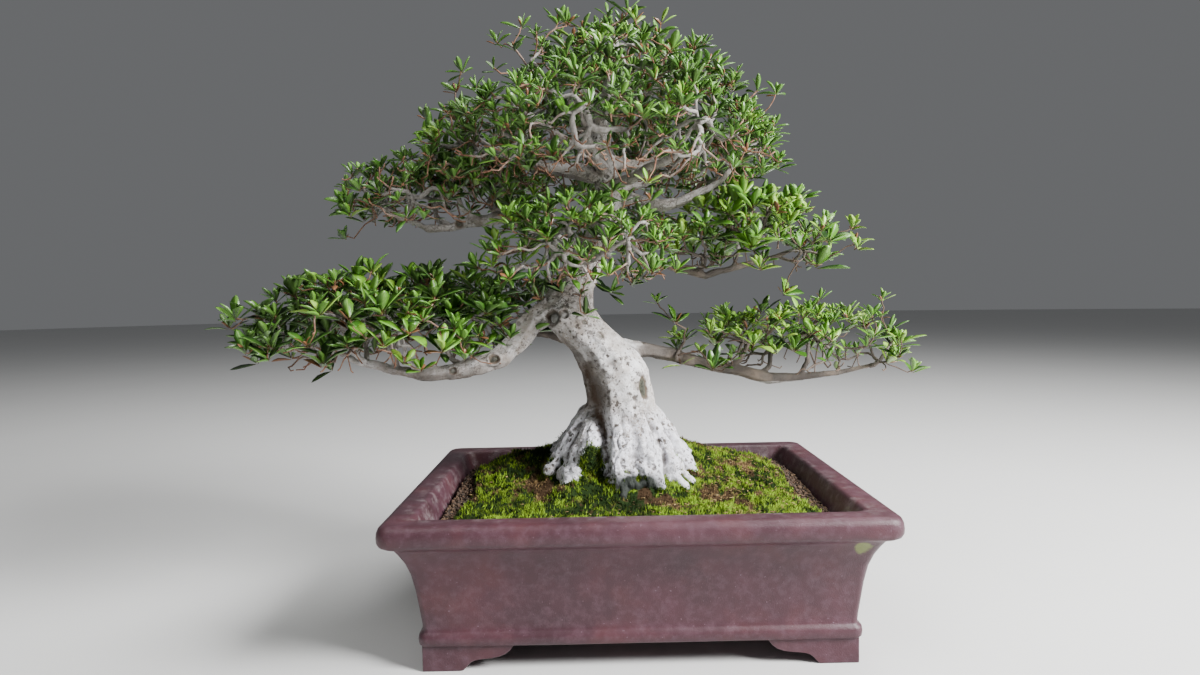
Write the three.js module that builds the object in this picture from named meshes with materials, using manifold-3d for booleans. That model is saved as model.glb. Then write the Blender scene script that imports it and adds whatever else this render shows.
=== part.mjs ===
// A satsuki azalea bonsai in a rectangular stoneware pot.
//
// Units are millimetres, +Z is up, +X is to the right and -Y is the tree's front. The tree and the pot are
// laid out about the middle of the pot's base, and the finished group is moved so that the middle of its
// own footprint is the origin. The object is made of these pieces:
//   pot           one fired piece: walls, rolled rim, base band, four bracket feet and two drain holes
//   drain_screen  two plastic nets over the drain holes
//   soil          the mounded fill, with a plain hole for the stump
//   moss          the cushioned layer on the soil, cut round the roots
//   wood          the grown wood: stump, surface roots, trunk, limbs and side branches
//   spray         leafy shoots, each one a forked twig with its whorls of leaves
import * as THREE from "three";
import { mergeVertices } from "three/addons/utils/BufferGeometryUtils.js";
import Module from "manifold-3d";

const wasm = await Module();
wasm.setup();

// ---------------------------------------------------------------- driving dimensions

const FIT_GAP = 0.3; // clearance between pieces that touch

// The pot: 450 mm long, 350 mm deep and 138 mm high.
const POT_HALF_X = 225;
const POT_HALF_Y = 175;
const POT_HEIGHT = 138;
const FOOT_HEIGHT = 22;
const FLOOR_TOP = 34;
const DRAIN_RADIUS = 16;
const DRAIN_X = 95; // of each drain hole's middle, left and right of the pot's
const CORNER_STEPS = 3; // straight steps round a corner

// The wall's section, from the underside out and up over the rim, then down the inside to the floor. Each
// row is the inset from the rim's edge, the height and the corner's radius.
const POT_SECTION = [
  [34, FOOT_HEIGHT, 6],
  [30, FOOT_HEIGHT + 1.5, 7],
  [28.6, 26, 8],
  [28.6, 32, 8],
  [32.2, 35.5, 6],
  [31.5, 44, 6],
  [28, 72, 7],
  [23, 93, 8],
  [18, 105, 10],
  [13, 112.5, 11],
  [4, 119.5, 13],
  [0.6, 122.5, 14],
  [0, 130, 14],
  [2, 135.5, 13],
  [6, POT_HEIGHT, 12],
  [26, POT_HEIGHT, 10],
];
const INNER_SECTION = [
  [28, 134, 10],
  [35, 118, 10],
  [41, 95, 10],
  [45, 60, 10],
  [49, FLOOR_TOP, 10],
];

// The nets over the drain holes and the layers on them.
const SCREEN_HALF = 24;
const SCREEN_THICKNESS = 1.2;
const MOSS_THICKNESS = 7;
const MOSS_EDGE = 2; // height of the moss's rim over the soil
const SOIL_STEPS = 3; // along each edge of the soil's rings
const SOIL_RINGS = [0.97, 0.76, 0.52];
const MOSS_STEPS = 4; // along each edge of the moss's rings
const MOSS_RINGS = [0.9, 0.86, 0.73, 0.59, 0.44];
const MOSS_STRAY = 0.03; // how far the moss's edge strays in and out, as a share of its reach

// The trunk's middle line, from inside the flare to the tip: x, y, z and radius.
const TRUNK = [
  [-10, 1, 160, 38],
  [-10, 0, 214, 37.5],
  [-12, 0, 232, 36],
  [-15, -1, 250, 36.5],
  [-26, -2, 270, 34.5],
  [-42, -3, 286, 33.5],
  [-57, -2, 302, 31.5],
  [-64, 0, 318, 28],
  [-60, 5, 336, 24],
  [-48, 10, 356, 21],
  [-33, 13, 380, 18.5],
  [-22, 12, 405, 16.5],
  [-18, 8, 430, 15],
  [-21, 3, 454, 13],
  [-27, 0, 480, 11],
  [-26, -1, 506, 8.5],
  [-18, 1, 535, 6],
  [-8, 3, 568, 3],
];
const TRUNK_SIDES = 12;

// The flare of buttress roots under the trunk. Each root has a ridge: its turn from +X in degrees, its reach
// as a share of the flare's and half its width in degrees. The rows run from the stump's foot up into the
// trunk: the height, the reach of the ridges and the reach of the hollows between them.
const FLARE_MIDDLE = [-9, 4];
const FLARE_ROOTS = [
  [-14, 0.98, 5],
  [-38, 0.96, 6],
  [-64, 0.9, 8],
  [-91, 0.87, 7],
  [-144, 0.93, 9],
  [-169, 1.06, 6],
  [162, 1.08, 9],
  [129, 0.98, 7],
  [96, 0.95, 9],
  [60, 1, 7],
  [24, 1.02, 9],
];
const FLARE_ROWS = [
  [82, 46, 40],
  [112, 88, 58],
  [134, 82, 55],
  [150, 75, 53],
  [168, 67, 50],
  [186, 57, 46],
  [203, 45, 39],
  [222, 30, 30],
];

// Middle lines of the limbs, from inside the trunk to the tip: x, y, z and radius.
const LIMBS = {
  low_left: [
    [-58, -2, 320, 15],
    [-84, -8, 314, 14.5],
    [-102, -16, 302, 14],
    [-115, -26, 285, 13.5],
    [-131, -34, 270, 12.5],
    [-152, -41, 261, 11],
    [-178, -46, 256, 9],
    [-207, -48, 254, 7],
    [-242, -44, 259, 5],
    [-286, -36, 272, 3.4],
    [-322, -28, 284, 2.2],
  ],
  low_back: [
    [-30, 6, 274, 9.5],
    [-54, 26, 282, 7],
    [-86, 48, 286, 5.6],
    [-124, 72, 293, 4],
    [-160, 90, 304, 2.2],
  ],
  low_right: [
    [-8, 8, 272, 12],
    [24, 22, 268, 8.6],
    [57, 33, 261, 8],
    [86, 40, 251, 7.5],
    [125, 45, 243, 7],
    [158, 48, 233, 7.4],
    [192, 49, 234, 4.8],
    [234, 47, 238, 3.4],
    [274, 44, 246, 2.2],
  ],
  mid_right: [
    [-24, 11, 402, 10],
    [0, 12, 388, 6.6],
    [24, 15, 368, 5.2],
    [50, 18, 358, 4.4],
    [84, 18, 349, 4.2],
    [114, 16, 357, 3.6],
    [150, 14, 365, 2.8],
    [182, 11, 374, 2.2],
  ],
  upper_left: [
    [-52, 6, 368, 11],
    [-74, -4, 386, 8.4],
    [-95, -10, 403, 7.6],
    [-118, -15, 411, 7.4],
    [-138, -18, 408, 6.6],
    [-166, -22, 404, 5.6],
    [-202, -24, 398, 4.2],
    [-228, -24, 410, 3.2],
    [-252, -23, 424, 2.2],
  ],
  front: [
    [-57, 2, 344, 11],
    [-60, -28, 354, 7],
    [-50, -56, 360, 5],
    [-28, -80, 366, 3.6],
    [-4, -94, 378, 2.2],
  ],
  back: [
    [-42, 12, 372, 9],
    [-32, 46, 382, 6.4],
    [-16, 82, 390, 4.6],
    [4, 112, 402, 2.2],
  ],
  crown_left: [
    [-20, 4, 448, 9],
    [-52, -6, 458, 6.6],
    [-90, -14, 464, 5],
    [-126, -16, 474, 3.6],
    [-154, -14, 494, 2.2],
  ],
  crown_right: [
    [-18, 8, 434, 9],
    [10, 1, 427, 8],
    [36, -5, 420, 7],
    [66, -7, 427, 5.2],
    [96, -6, 444, 3.6],
    [116, -4, 468, 2.2],
  ],
  crown_right_back: [
    [-24, 2, 466, 8],
    [14, 16, 467, 6],
    [52, 30, 472, 4.4],
    [86, 42, 494, 2.2],
  ],
  crown_front: [
    [-22, 3, 458, 8],
    [-32, -36, 464, 5.4],
    [-40, -74, 476, 3.8],
    [-42, -102, 498, 2.2],
  ],
  crown_front_right: [
    [-20, 6, 442, 8],
    [10, -34, 448, 5.6],
    [42, -66, 460, 4],
    [62, -88, 484, 2.2],
  ],
  crown_front_left: [
    [-24, 2, 472, 7],
    [-62, -40, 483, 4.8],
    [-94, -68, 500, 2.2],
  ],
  crown_back: [
    [-24, 2, 464, 8],
    [-26, 42, 472, 5.6],
    [-24, 78, 482, 3.8],
    [-18, 104, 504, 2.2],
  ],
  crown_back_left: [
    [-20, 6, 450, 8],
    [-60, 38, 461, 5.4],
    [-98, 64, 474, 3.8],
    [-122, 80, 498, 2.2],
  ],
  crown_back_right: [
    [-18, 8, 440, 8],
    [24, 46, 452, 5.4],
    [56, 76, 468, 3.8],
    [74, 92, 492, 2.2],
  ],
  top_left: [
    [-27, 0, 496, 7.5],
    [-62, -12, 524, 4.8],
    [-96, -18, 556, 2.2],
  ],
  top_right: [
    [-22, 0, 512, 7],
    [22, -1, 534, 4.6],
    [62, -4, 560, 2.2],
  ],
  top_front: [
    [-24, 0, 508, 7],
    [-20, -32, 534, 4.6],
    [-10, -62, 564, 2.2],
  ],
  top_back: [
    [-26, 0, 504, 7],
    [-20, 34, 532, 4.6],
    [-12, 64, 562, 2.2],
  ],
};
const LIMB_SIDES = 5;
const END_RADIUS = 2.2; // of a branch where a spray goes on from it
const CLEAR = 1; // least distance kept between one spray and whatever else stands there

// Each pad of foliage is a dome over its limbs: the middle of its base, its half sizes along X, Y and Z, the
// number of sprays and of whorls that it carries, its leaves' length, and the whorls that stand out past it.
const PADS = {
  low_left: {
    limbs: ["low_left"],
    middle: [-248, -38, 272],
    half: [132, 86, 78],
    sprays: 7,
    whorls: 12,
    leaf: 25,
    outliers: [
      [-372, -22, 304],
      [-250, -60, 356],
      [-192, -118, 266],
    ],
  },
  low_back: {
    limbs: ["low_back"],
    middle: [-150, 92, 304],
    half: [84, 50, 46],
    sprays: 2,
    whorls: 4,
    leaf: 21,
    outliers: [],
  },
  low_right: {
    limbs: ["low_right"],
    middle: [182, 44, 246],
    half: [122, 62, 58],
    sprays: 5,
    whorls: 11,
    leaf: 20,
    outliers: [[316, 40, 240]],
  },
  mid_right: {
    limbs: ["mid_right"],
    middle: [136, 12, 358],
    half: [92, 68, 70],
    sprays: 4,
    whorls: 10,
    leaf: 23,
    outliers: [],
  },
  upper_left: {
    limbs: ["upper_left"],
    middle: [-190, -20, 410],
    half: [98, 66, 58],
    sprays: 5,
    whorls: 9,
    leaf: 20,
    outliers: [],
  },
  front: {
    limbs: ["front"],
    middle: [-40, -76, 354],
    half: [84, 40, 66],
    sprays: 4,
    whorls: 6,
    leaf: 21,
    outliers: [],
  },
  back: {
    limbs: ["back"],
    middle: [0, 108, 392],
    half: [82, 46, 46],
    sprays: 2,
    whorls: 4,
    leaf: 18,
    outliers: [],
  },
  crown: {
    limbs: Object.keys(LIMBS).filter((name) => /^(crown|top)_/.test(name)),
    middle: [-26, 0, 458],
    half: [166, 136, 140],
    sprays: 18,
    whorls: 33,
    leaf: 17,
    outliers: [
      [-58, -8, 612],
      [-126, -10, 588],
      [36, -6, 612],
    ],
  },
};

// The whorls of leaves at the ends of the twigs.
const BLADE_THICKNESS = 0.7;
const HUB_RADIUS = 1.4;
const HUB_HEIGHT = 1.1;
const LEAVES = 5; // in a whorl

// ---------------------------------------------------------------- solids

const UP = new THREE.Vector3(0, 0, 1);
const vec = (x, y, z) => new THREE.Vector3(x, y, z);

/** A seeded generator of numbers from 0 to 1, so that the tree grows the same way each time. */
function seeded(seed) {
  let state = seed | 0;
  return () => {
    state = (state + 0x6d2b79f5) | 0;
    let t = Math.imul(state ^ (state >>> 15), 1 | state);
    t = (t + Math.imul(t ^ (t >>> 7), 61 | t)) ^ t;
    return ((t ^ (t >>> 14)) >>> 0) / 4294967296;
  };
}

/** A closed geometry as a solid, turned face out if it was inside out. */
function solidOf(geometry) {
  const bare = geometry.clone();
  for (const name of Object.keys(bare.attributes)) {
    if (name !== "position") bare.deleteAttribute(name);
  }
  const merged = mergeVertices(bare, 1e-4);
  const make = (triVerts) =>
    new wasm.Manifold(
      new wasm.Mesh({ numProp: 3, vertProperties: merged.attributes.position.array, triVerts }),
    );
  const triVerts = new Uint32Array(merged.index.array);
  const solid = make(triVerts);
  if (solid.volume() > 0) return solid;
  for (let i = 0; i < triVerts.length; i += 3) {
    [triVerts[i + 1], triVerts[i + 2]] = [triVerts[i + 2], triVerts[i + 1]];
  }
  return make(triVerts);
}

/** The largest body of a solid, which leaves any loose scrap behind. */
function mainBody(solid) {
  return solid.decompose().reduce((a, b) => (a.volume() > b.volume() ? a : b));
}

/** A solid's surface as a geometry. */
function geometryOf(solid) {
  const { numProp, numVert, vertProperties, triVerts } = solid.getMesh();
  const positions = new Float32Array(numVert * 3);
  for (let i = 0; i < numVert; i++) {
    positions.set(vertProperties.subarray(i * numProp, i * numProp + 3), i * 3);
  }
  const geometry = new THREE.BufferGeometry();
  geometry.setAttribute("position", new THREE.BufferAttribute(positions, 3));
  geometry.setIndex(new THREE.BufferAttribute(triVerts, 1));
  return geometry;
}

/** A geometry from a list of points and a list of faces, each a triple of indices. */
function facedGeometry(points, faces) {
  const geometry = new THREE.BufferGeometry().setFromPoints(points);
  geometry.setIndex(faces.flat());
  return geometry;
}

/** A closed skin through equal rings of points, with a fan over the first ring and over the last. */
function loft(rings) {
  const count = rings[0].length;
  const points = rings.flat();
  const faces = [];
  for (let r = 0; r + 1 < rings.length; r++) {
    for (let i = 0; i < count; i++) {
      const a = r * count + i;
      const b = r * count + ((i + 1) % count);
      faces.push([a, b, b + count], [a, b + count, a + count]);
    }
  }
  for (const [ring, start, flip] of [
    [rings[0], 0, true],
    [rings.at(-1), (rings.length - 1) * count, false],
  ]) {
    const middle = points.push(centreOf(ring)) - 1;
    for (let i = 0; i < count; i++) {
      const edge = [start + i, start + ((i + 1) % count)];
      faces.push(flip ? [edge[1], edge[0], middle] : [...edge, middle]);
    }
  }
  return facedGeometry(points, faces);
}

function centreOf(points) {
  return points.reduce((sum, p) => sum.add(p), vec(0, 0, 0)).divideScalar(points.length);
}

/** Unit directions along a line of points, each the mean of the steps that meet there. */
function directionsOf(points) {
  return points.map((p, i) => {
    const before = points[Math.max(i - 1, 0)];
    const after = points[Math.min(i + 1, points.length - 1)];
    return after.clone().sub(before).normalize();
  });
}

/** A unit vector square to a direction. */
function squareTo(direction) {
  const side = Math.abs(direction.z) < 0.9 ? UP : vec(1, 0, 0);
  return vec(0, 0, 0).crossVectors(side, direction).normalize();
}

/** A tapered round bar of few sides through the points, with flat ends. */
function bar(points, radii, sides) {
  const directions = directionsOf(points);
  let side = squareTo(directions[0]);
  const rings = points.map((p, i) => {
    side = side.clone().addScaledVector(directions[i], -side.dot(directions[i])).normalize();
    const other = vec(0, 0, 0).crossVectors(directions[i], side);
    return Array.from({ length: sides }, (_, k) => {
      const turn = (2 * Math.PI * k) / sides;
      return p
        .clone()
        .addScaledVector(side, radii[i] * Math.cos(turn))
        .addScaledVector(other, radii[i] * Math.sin(turn));
    });
  });
  return loft(rings);
}

// ---------------------------------------------------------------- pot

/** Points round a rectangle with round corners, counter-clockwise from above, its edges cut in steps. */
function rectangleLoop(halfX, halfY, corner, z, edgeSteps = 1) {
  const loop = [];
  const centres = [
    [halfX - corner, halfY - corner],
    [corner - halfX, halfY - corner],
    [corner - halfX, corner - halfY],
    [halfX - corner, corner - halfY],
  ];
  centres.forEach(([x, y], quarter) => {
    for (let s = 0; s <= CORNER_STEPS; s++) {
      const turn = (Math.PI / 2) * (quarter + s / CORNER_STEPS);
      loop.push(vec(x + corner * Math.cos(turn), y + corner * Math.sin(turn), z));
    }
    const [nextX, nextY] = centres[(quarter + 1) % 4];
    const last = loop.at(-1);
    const next = vec(nextX + last.x - x, nextY + last.y - y, z);
    for (let s = 1; s < edgeSteps; s++) loop.push(last.clone().lerp(next, s / edgeSteps));
  });
  return loop;
}

/** One ring of the pot's section, drawn in by the given clearance. */
function potRing([inset, z, corner], clearance = 0, edgeSteps = 1) {
  const drawnIn = inset + clearance;
  return rectangleLoop(POT_HALF_X - drawnIn, POT_HALF_Y - drawnIn, corner, z, edgeSteps);
}

/** A bracket foot's outline from the pot's corner inward: a flat sole, a small step and a long lobe. */
function footOutline(reach) {
  const sunk = FOOT_HEIGHT + 4;
  const shape = new THREE.Shape();
  shape.moveTo(0, 0);
  shape.lineTo(0.44 * reach, 0);
  shape.quadraticCurveTo(0.5 * reach, 1, 0.53 * reach, 5);
  shape.quadraticCurveTo(0.58 * reach, 9, 0.7 * reach, 10);
  shape.quadraticCurveTo(0.93 * reach, 11, reach, FOOT_HEIGHT);
  shape.lineTo(reach, sunk);
  shape.lineTo(0, sunk);
  return shape;
}

function makePot() {
  const FOOT_HALF_X = 192.8;
  const FOOT_HALF_Y = 142.8;
  const FOOT_THICKNESS = 16;
  const FRONT_REACH = 81;
  const SIDE_REACH = 66;
  const arm = (reach) =>
    new THREE.ExtrudeGeometry(footOutline(reach), {
      depth: FOOT_THICKNESS,
      bevelEnabled: false,
      curveSegments: 2,
    });
  const feet = [];
  for (const sx of [-1, 1]) {
    for (const sy of [-1, 1]) {
      const corner = vec(sx * FOOT_HALF_X, sy * FOOT_HALF_Y, 0);
      // The outline's own axes run inward along the wall, up, and inward across the wall.
      const alongX = new THREE.Matrix4().makeBasis(vec(-sx, 0, 0), UP, vec(0, -sy, 0));
      const alongY = new THREE.Matrix4().makeBasis(vec(0, -sy, 0), UP, vec(-sx, 0, 0));
      feet.push(solidOf(arm(FRONT_REACH).applyMatrix4(alongX.setPosition(corner))));
      feet.push(solidOf(arm(SIDE_REACH).applyMatrix4(alongY.setPosition(corner))));
    }
  }
  const body = solidOf(loft([...POT_SECTION, ...INNER_SECTION].map((row) => potRing(row))));
  const drains = [-DRAIN_X, DRAIN_X].map((x) => {
    const hole = new THREE.CylinderGeometry(DRAIN_RADIUS, DRAIN_RADIUS, 60, 12);
    return solidOf(hole.rotateX(Math.PI / 2).translate(x, 0, FLOOR_TOP));
  });
  return wasm.Manifold.union([body, ...feet]).subtract(wasm.Manifold.union(drains));
}

// ---------------------------------------------------------------- drain screens

/** An upright block on the given middle. */
function block(sizeX, sizeY, sizeZ, x, y, z) {
  return solidOf(new THREE.BoxGeometry(sizeX, sizeY, sizeZ).translate(x, y, z));
}

/** A square of plastic net, with a grid of square holes, lying on the floor over a drain hole. */
function makeScreen(x) {
  const HOLES = 3;
  const PITCH = 12;
  const HOLE = 9.6;
  const middle = FLOOR_TOP + FIT_GAP + SCREEN_THICKNESS / 2;
  const holes = Array.from({ length: HOLES * HOLES }, (_, i) => {
    const column = (i % HOLES) - (HOLES - 1) / 2;
    const row = Math.floor(i / HOLES) - (HOLES - 1) / 2;
    return block(HOLE, HOLE, 2 * SCREEN_THICKNESS, x + column * PITCH, row * PITCH, middle);
  });
  const plate = block(2 * SCREEN_HALF, 2 * SCREEN_HALF, SCREEN_THICKNESS, x, 0, middle);
  return plate.subtract(wasm.Manifold.union(holes));
}

// ---------------------------------------------------------------- ground

/** Height of the soil: low along the front and the walls, and heaped up behind the trunk. */
function soilHeight(x, y) {
  const heap = Math.exp(-(((x + 8) / 135) ** 2) - ((y - 55) / 85) ** 2);
  return 117 + 48 * heap;
}

/** Height of the moss, whose cushions swell and dip on the soil. */
function mossHeight(x, y) {
  const cushions = Math.sin(x / 13 + 1.7 * Math.sin(y / 21)) * Math.sin(y / 11 + 1.3 * Math.sin(x / 25));
  return soilHeight(x, y) + MOSS_THICKNESS + 3.4 * cushions;
}

/** Rings of ground points, rounder towards the middle, at the height that a function gives. */
function groundRings(shares, steps, height, stray = 0) {
  const [inset, , corner] = INNER_SECTION[1];
  return shares.map((share, ring) => {
    const halfX = share * (POT_HALF_X - inset);
    const halfY = share * (POT_HALF_Y - inset);
    const round = Math.min(corner + 170 * (1 - share), 0.9 * halfY);
    return rectangleLoop(halfX, halfY, round, 0, steps).map((p, i) => {
      const reach = ring < 2 ? 1 + stray * Math.sin(1.9 * i) : 1;
      const [x, y] = [p.x * reach, p.y * reach];
      return vec(x, y, height(x, y, ring));
    });
  });
}

/** The soil's body over the whole floor, raised by a clearance where it is used as a cutter. */
function soilFill(raised = 0) {
  const gap = FIT_GAP + 0.2;
  const wall = [[37.6, 108, 10], ...INNER_SECTION.slice(2)].reverse();
  const sides = wall.map(([inset, z, corner], i) =>
    potRing([inset, (i ? z : z + FIT_GAP) + raised, corner], gap, SOIL_STEPS),
  );
  const top = groundRings(SOIL_RINGS, SOIL_STEPS, (x, y) => soilHeight(x, y) + raised);
  return solidOf(loft([...sides, ...top]));
}

function makeSoil(rootSocket) {
  const side = 2 * (SCREEN_HALF + FIT_GAP);
  const height = SCREEN_THICKNESS + 2 * FIT_GAP;
  const recesses = [-DRAIN_X, DRAIN_X].map((x) => block(side, side, 2 * height, x, 0, FLOOR_TOP));
  return mainBody(soilFill().subtract(wasm.Manifold.union([rootSocket, ...recesses])));
}

function makeMoss(rootSocket) {
  const rings = (height) => groundRings(MOSS_RINGS, MOSS_STEPS, height, MOSS_STRAY);
  const under = rings((x, y) => soilHeight(x, y) - 4).reverse();
  const over = rings((x, y, ring) => (ring ? mossHeight(x, y) : soilHeight(x, y) + MOSS_EDGE));
  const layer = solidOf(loft([...under, ...over]));
  return mainBody(layer.subtract(wasm.Manifold.union([soilFill(FIT_GAP), rootSocket])));
}

// ---------------------------------------------------------------- trunk and roots

function makeTrunk() {
  const rings = TRUNK.map(([x, y, z, radius]) =>
    Array.from({ length: TRUNK_SIDES }, (_, k) => {
      const turn = (2 * Math.PI * (k + 0.5)) / TRUNK_SIDES;
      return vec(x + radius * Math.cos(turn), y + radius * Math.sin(turn), z);
    }),
  );
  return solidOf(loft(rings));
}

/** The root flare as one loft of lobed rings, grown by a clearance where it is used as a cutter. */
function makeFlare(clearance = 0) {
  const roots = [...FLARE_ROOTS].sort((a, b) => a[0] - b[0]);
  const rings = FLARE_ROWS.map(([z, ridge, hollow], row) => {
    const grown = THREE.MathUtils.radToDeg((2 * clearance) / ridge);
    const ridges = roots.map(([degrees, share, half], i) => {
      const middle = degrees + 2.5 * Math.sin(3 * i + 1.1 * row);
      return { from: middle - half - grown, to: middle + half + grown, reach: ridge * share };
    });
    return ridges.flatMap(({ from, to, reach }, i) => {
      const next = ridges[(i + 1) % ridges.length].from + (i + 1 < ridges.length ? 0 : 360);
      const depth = next - to > 24 ? 0.72 : 1;
      const steps = [
        [from, reach],
        [to, reach],
        [(to + next) / 2, hollow * depth + clearance],
      ];
      return steps.map(([degrees, distance]) => {
        const turn = THREE.MathUtils.degToRad(degrees);
        const r = distance + clearance;
        return vec(
          FLARE_MIDDLE[0] + r * Math.cos(turn),
          FLARE_MIDDLE[1] + r * Math.sin(turn),
          row ? z : z - clearance,
        );
      });
    });
  });
  return solidOf(loft(rings));
}

// ---------------------------------------------------------------- limbs

const limbLines = Object.fromEntries(
  Object.entries(LIMBS).map(([name, rows]) => [
    name,
    { points: rows.map(([x, y, z]) => vec(x, y, z)), radii: rows.map((row) => row[3]) },
  ]),
);

/** What already stands where something grows, as straight stretches with a radius. */
const standing = [];
function stand(points, radii) {
  for (let i = 0; i + 1 < points.length; i++) {
    standing.push({ from: points[i], to: points[i + 1], radius: Math.max(radii[i], radii[i + 1]) });
  }
}

/** Whether a straight stretch keeps clear of all that stands, but for stretches that end at the joint. */
function isClear(from, to, radius, joint = null) {
  return standing.every(
    (s) => s.to === joint || stretchDistance(from, to, s.from, s.to) > s.radius + radius + CLEAR,
  );
}

/** Least distance between two straight stretches. */
function stretchDistance(p1, q1, p2, q2) {
  const d1 = q1.clone().sub(p1);
  const d2 = q2.clone().sub(p2);
  const r = p1.clone().sub(p2);
  const [a, b, c, e, f] = [d1.dot(d1), d1.dot(d2), d1.dot(r), d2.dot(d2), d2.dot(r)];
  const within = (v) => THREE.MathUtils.clamp(v, 0, 1);
  const bottom = a * e - b * b;
  let s = bottom > 1e-9 ? within((b * f - c * e) / bottom) : 0;
  let t = (b * s + f) / e;
  if (t !== within(t)) {
    t = within(t);
    s = within((b * t - c) / a);
  }
  return p1.clone().addScaledVector(d1, s).distanceTo(p2.clone().addScaledVector(d2, t));
}

// ---------------------------------------------------------------- foliage pads

const GOLDEN_TURN = Math.PI * (3 - Math.sqrt(5));

/** Points spread evenly over a dome, from its crown to its edge in a sunflower's order. */
function domePoints(pad, count, shrink) {
  const [cx, cy, cz] = pad.middle;
  const [a, b, c] = pad.half;
  const roundness = 1 + (2 * c) / (a + b);
  return Array.from({ length: count }, (_, k) => {
    const reach = Math.sqrt(1 - (1 - (k + 0.5) / count) ** roundness);
    const turn = k * GOLDEN_TURN;
    const height = Math.sqrt(1 - reach * reach);
    return vec(
      cx + shrink * a * reach * Math.cos(turn),
      cy + shrink * b * reach * Math.sin(turn),
      cz + shrink * c * height,
    );
  });
}

/** The outward direction of a pad's dome at a point, raised towards the light. */
function outward(pad, point) {
  const [a, b, c] = pad.half;
  const off = point.clone().sub(vec(...pad.middle));
  const normal = vec(off.x / (a * a), off.y / (b * b), Math.max(off.z, 0) / (c * c)).normalize();
  return normal.multiplyScalar(0.7).addScaledVector(UP, 0.6).normalize();
}

/** Stations along a limb, about 12 mm apart: place, direction, radius and distance from the limb's foot. */
function stationsOf(limb) {
  const SPACING = 12;
  const stations = [];
  let travelled = 0;
  for (let i = 0; i + 1 < limb.length; i++) {
    const from = vec(...limb[i]);
    const to = vec(...limb[i + 1]);
    const length = from.distanceTo(to);
    const steps = Math.max(1, Math.round(length / SPACING));
    for (let s = 0; s < steps; s++) {
      stations.push({
        at: from.clone().lerp(to, s / steps),
        towards: to.clone().sub(from).normalize(),
        radius: limb[i][3] + (limb[i + 1][3] - limb[i][3]) * (s / steps),
        travelled: travelled + (s / steps) * length,
      });
    }
    travelled += length;
  }
  return stations;
}

/** A side branch that leaves a limb along its run and swings up to where a spray goes on. */
function sideBranch(pad, target) {
  const STEPS = 2;
  const stations = pad.limbs.flatMap((name) => stationsOf(LIMBS[name]).slice(2));
  const cost = (s) => s.at.distanceTo(target) + 0.25 * s.travelled;
  const start = stations.reduce((a, b) => (cost(a) < cost(b) ? a : b));
  const span = start.at.distanceTo(target);
  const bend = start.at
    .clone()
    .lerp(target, 0.4)
    .addScaledVector(start.towards, 0.25 * span)
    .addScaledVector(UP, -0.15 * span);
  const points = new THREE.QuadraticBezierCurve3(start.at, bend, target).getPoints(STEPS);
  points[STEPS] = target;
  const thick = Math.min(0.75 * start.radius, 4.5);
  const radii = points.map((_, i) => thick + (END_RADIUS - thick) * (i / STEPS));
  return { points, radii };
}

/** The end of a branch, where a spray goes on, and the way that it points. */
function forkOf(points) {
  return { at: points.at(-1), towards: directionsOf(points).at(-1) };
}

/** The side branches of one pad and the places where its sprays go on, each with its direction. */
function branchPad(pad) {
  const [a, b] = pad.half;
  const spacing = 0.6 * Math.sqrt((Math.PI * a * b) / pad.sprays);
  const ROOM = 4;
  const branches = [];
  const forks = pad.limbs.map((name) => forkOf(limbLines[name].points));
  for (const site of domePoints(pad, 3 * pad.sprays, 0.62)) {
    if (forks.length >= pad.sprays) break;
    if (forks.some((fork) => fork.at.distanceTo(site) < spacing)) continue;
    if (!isClear(site, site.clone().addScaledVector(UP, 20), ROOM)) continue;
    const branch = sideBranch(pad, site);
    branches.push(branch);
    forks.push(forkOf(branch.points));
    stand(branch.points, branch.radii);
  }
  return { branches, forks };
}

// ---------------------------------------------------------------- sprays

/** One leaf of a whorl, folded along its rib: the rib's ends, the widest points and the way it faces. */
function leafFrame(hub, axis, out, length, rise) {
  const WIDTH_SHARE = 0.36;
  const FOLD = 0.45;
  const across = vec(0, 0, 0).crossVectors(axis, out);
  const along = out.clone().multiplyScalar(Math.cos(rise)).addScaledVector(axis, Math.sin(rise));
  const face = vec(0, 0, 0).crossVectors(along, across);
  const foot = hub.clone().addScaledVector(out, HUB_RADIUS * Math.cos(Math.PI / LEAVES));
  const middle = foot.clone().addScaledVector(along, 0.46 * length);
  const tip = foot.clone().addScaledVector(along, length);
  const half = (WIDTH_SHARE * length) / 2;
  const [left, right] = [half, -half].map((side) =>
    middle.clone().addScaledVector(across, side).addScaledVector(face, FOLD * half),
  );
  return { foot, middle, tip, left, right, face, half };
}

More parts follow.
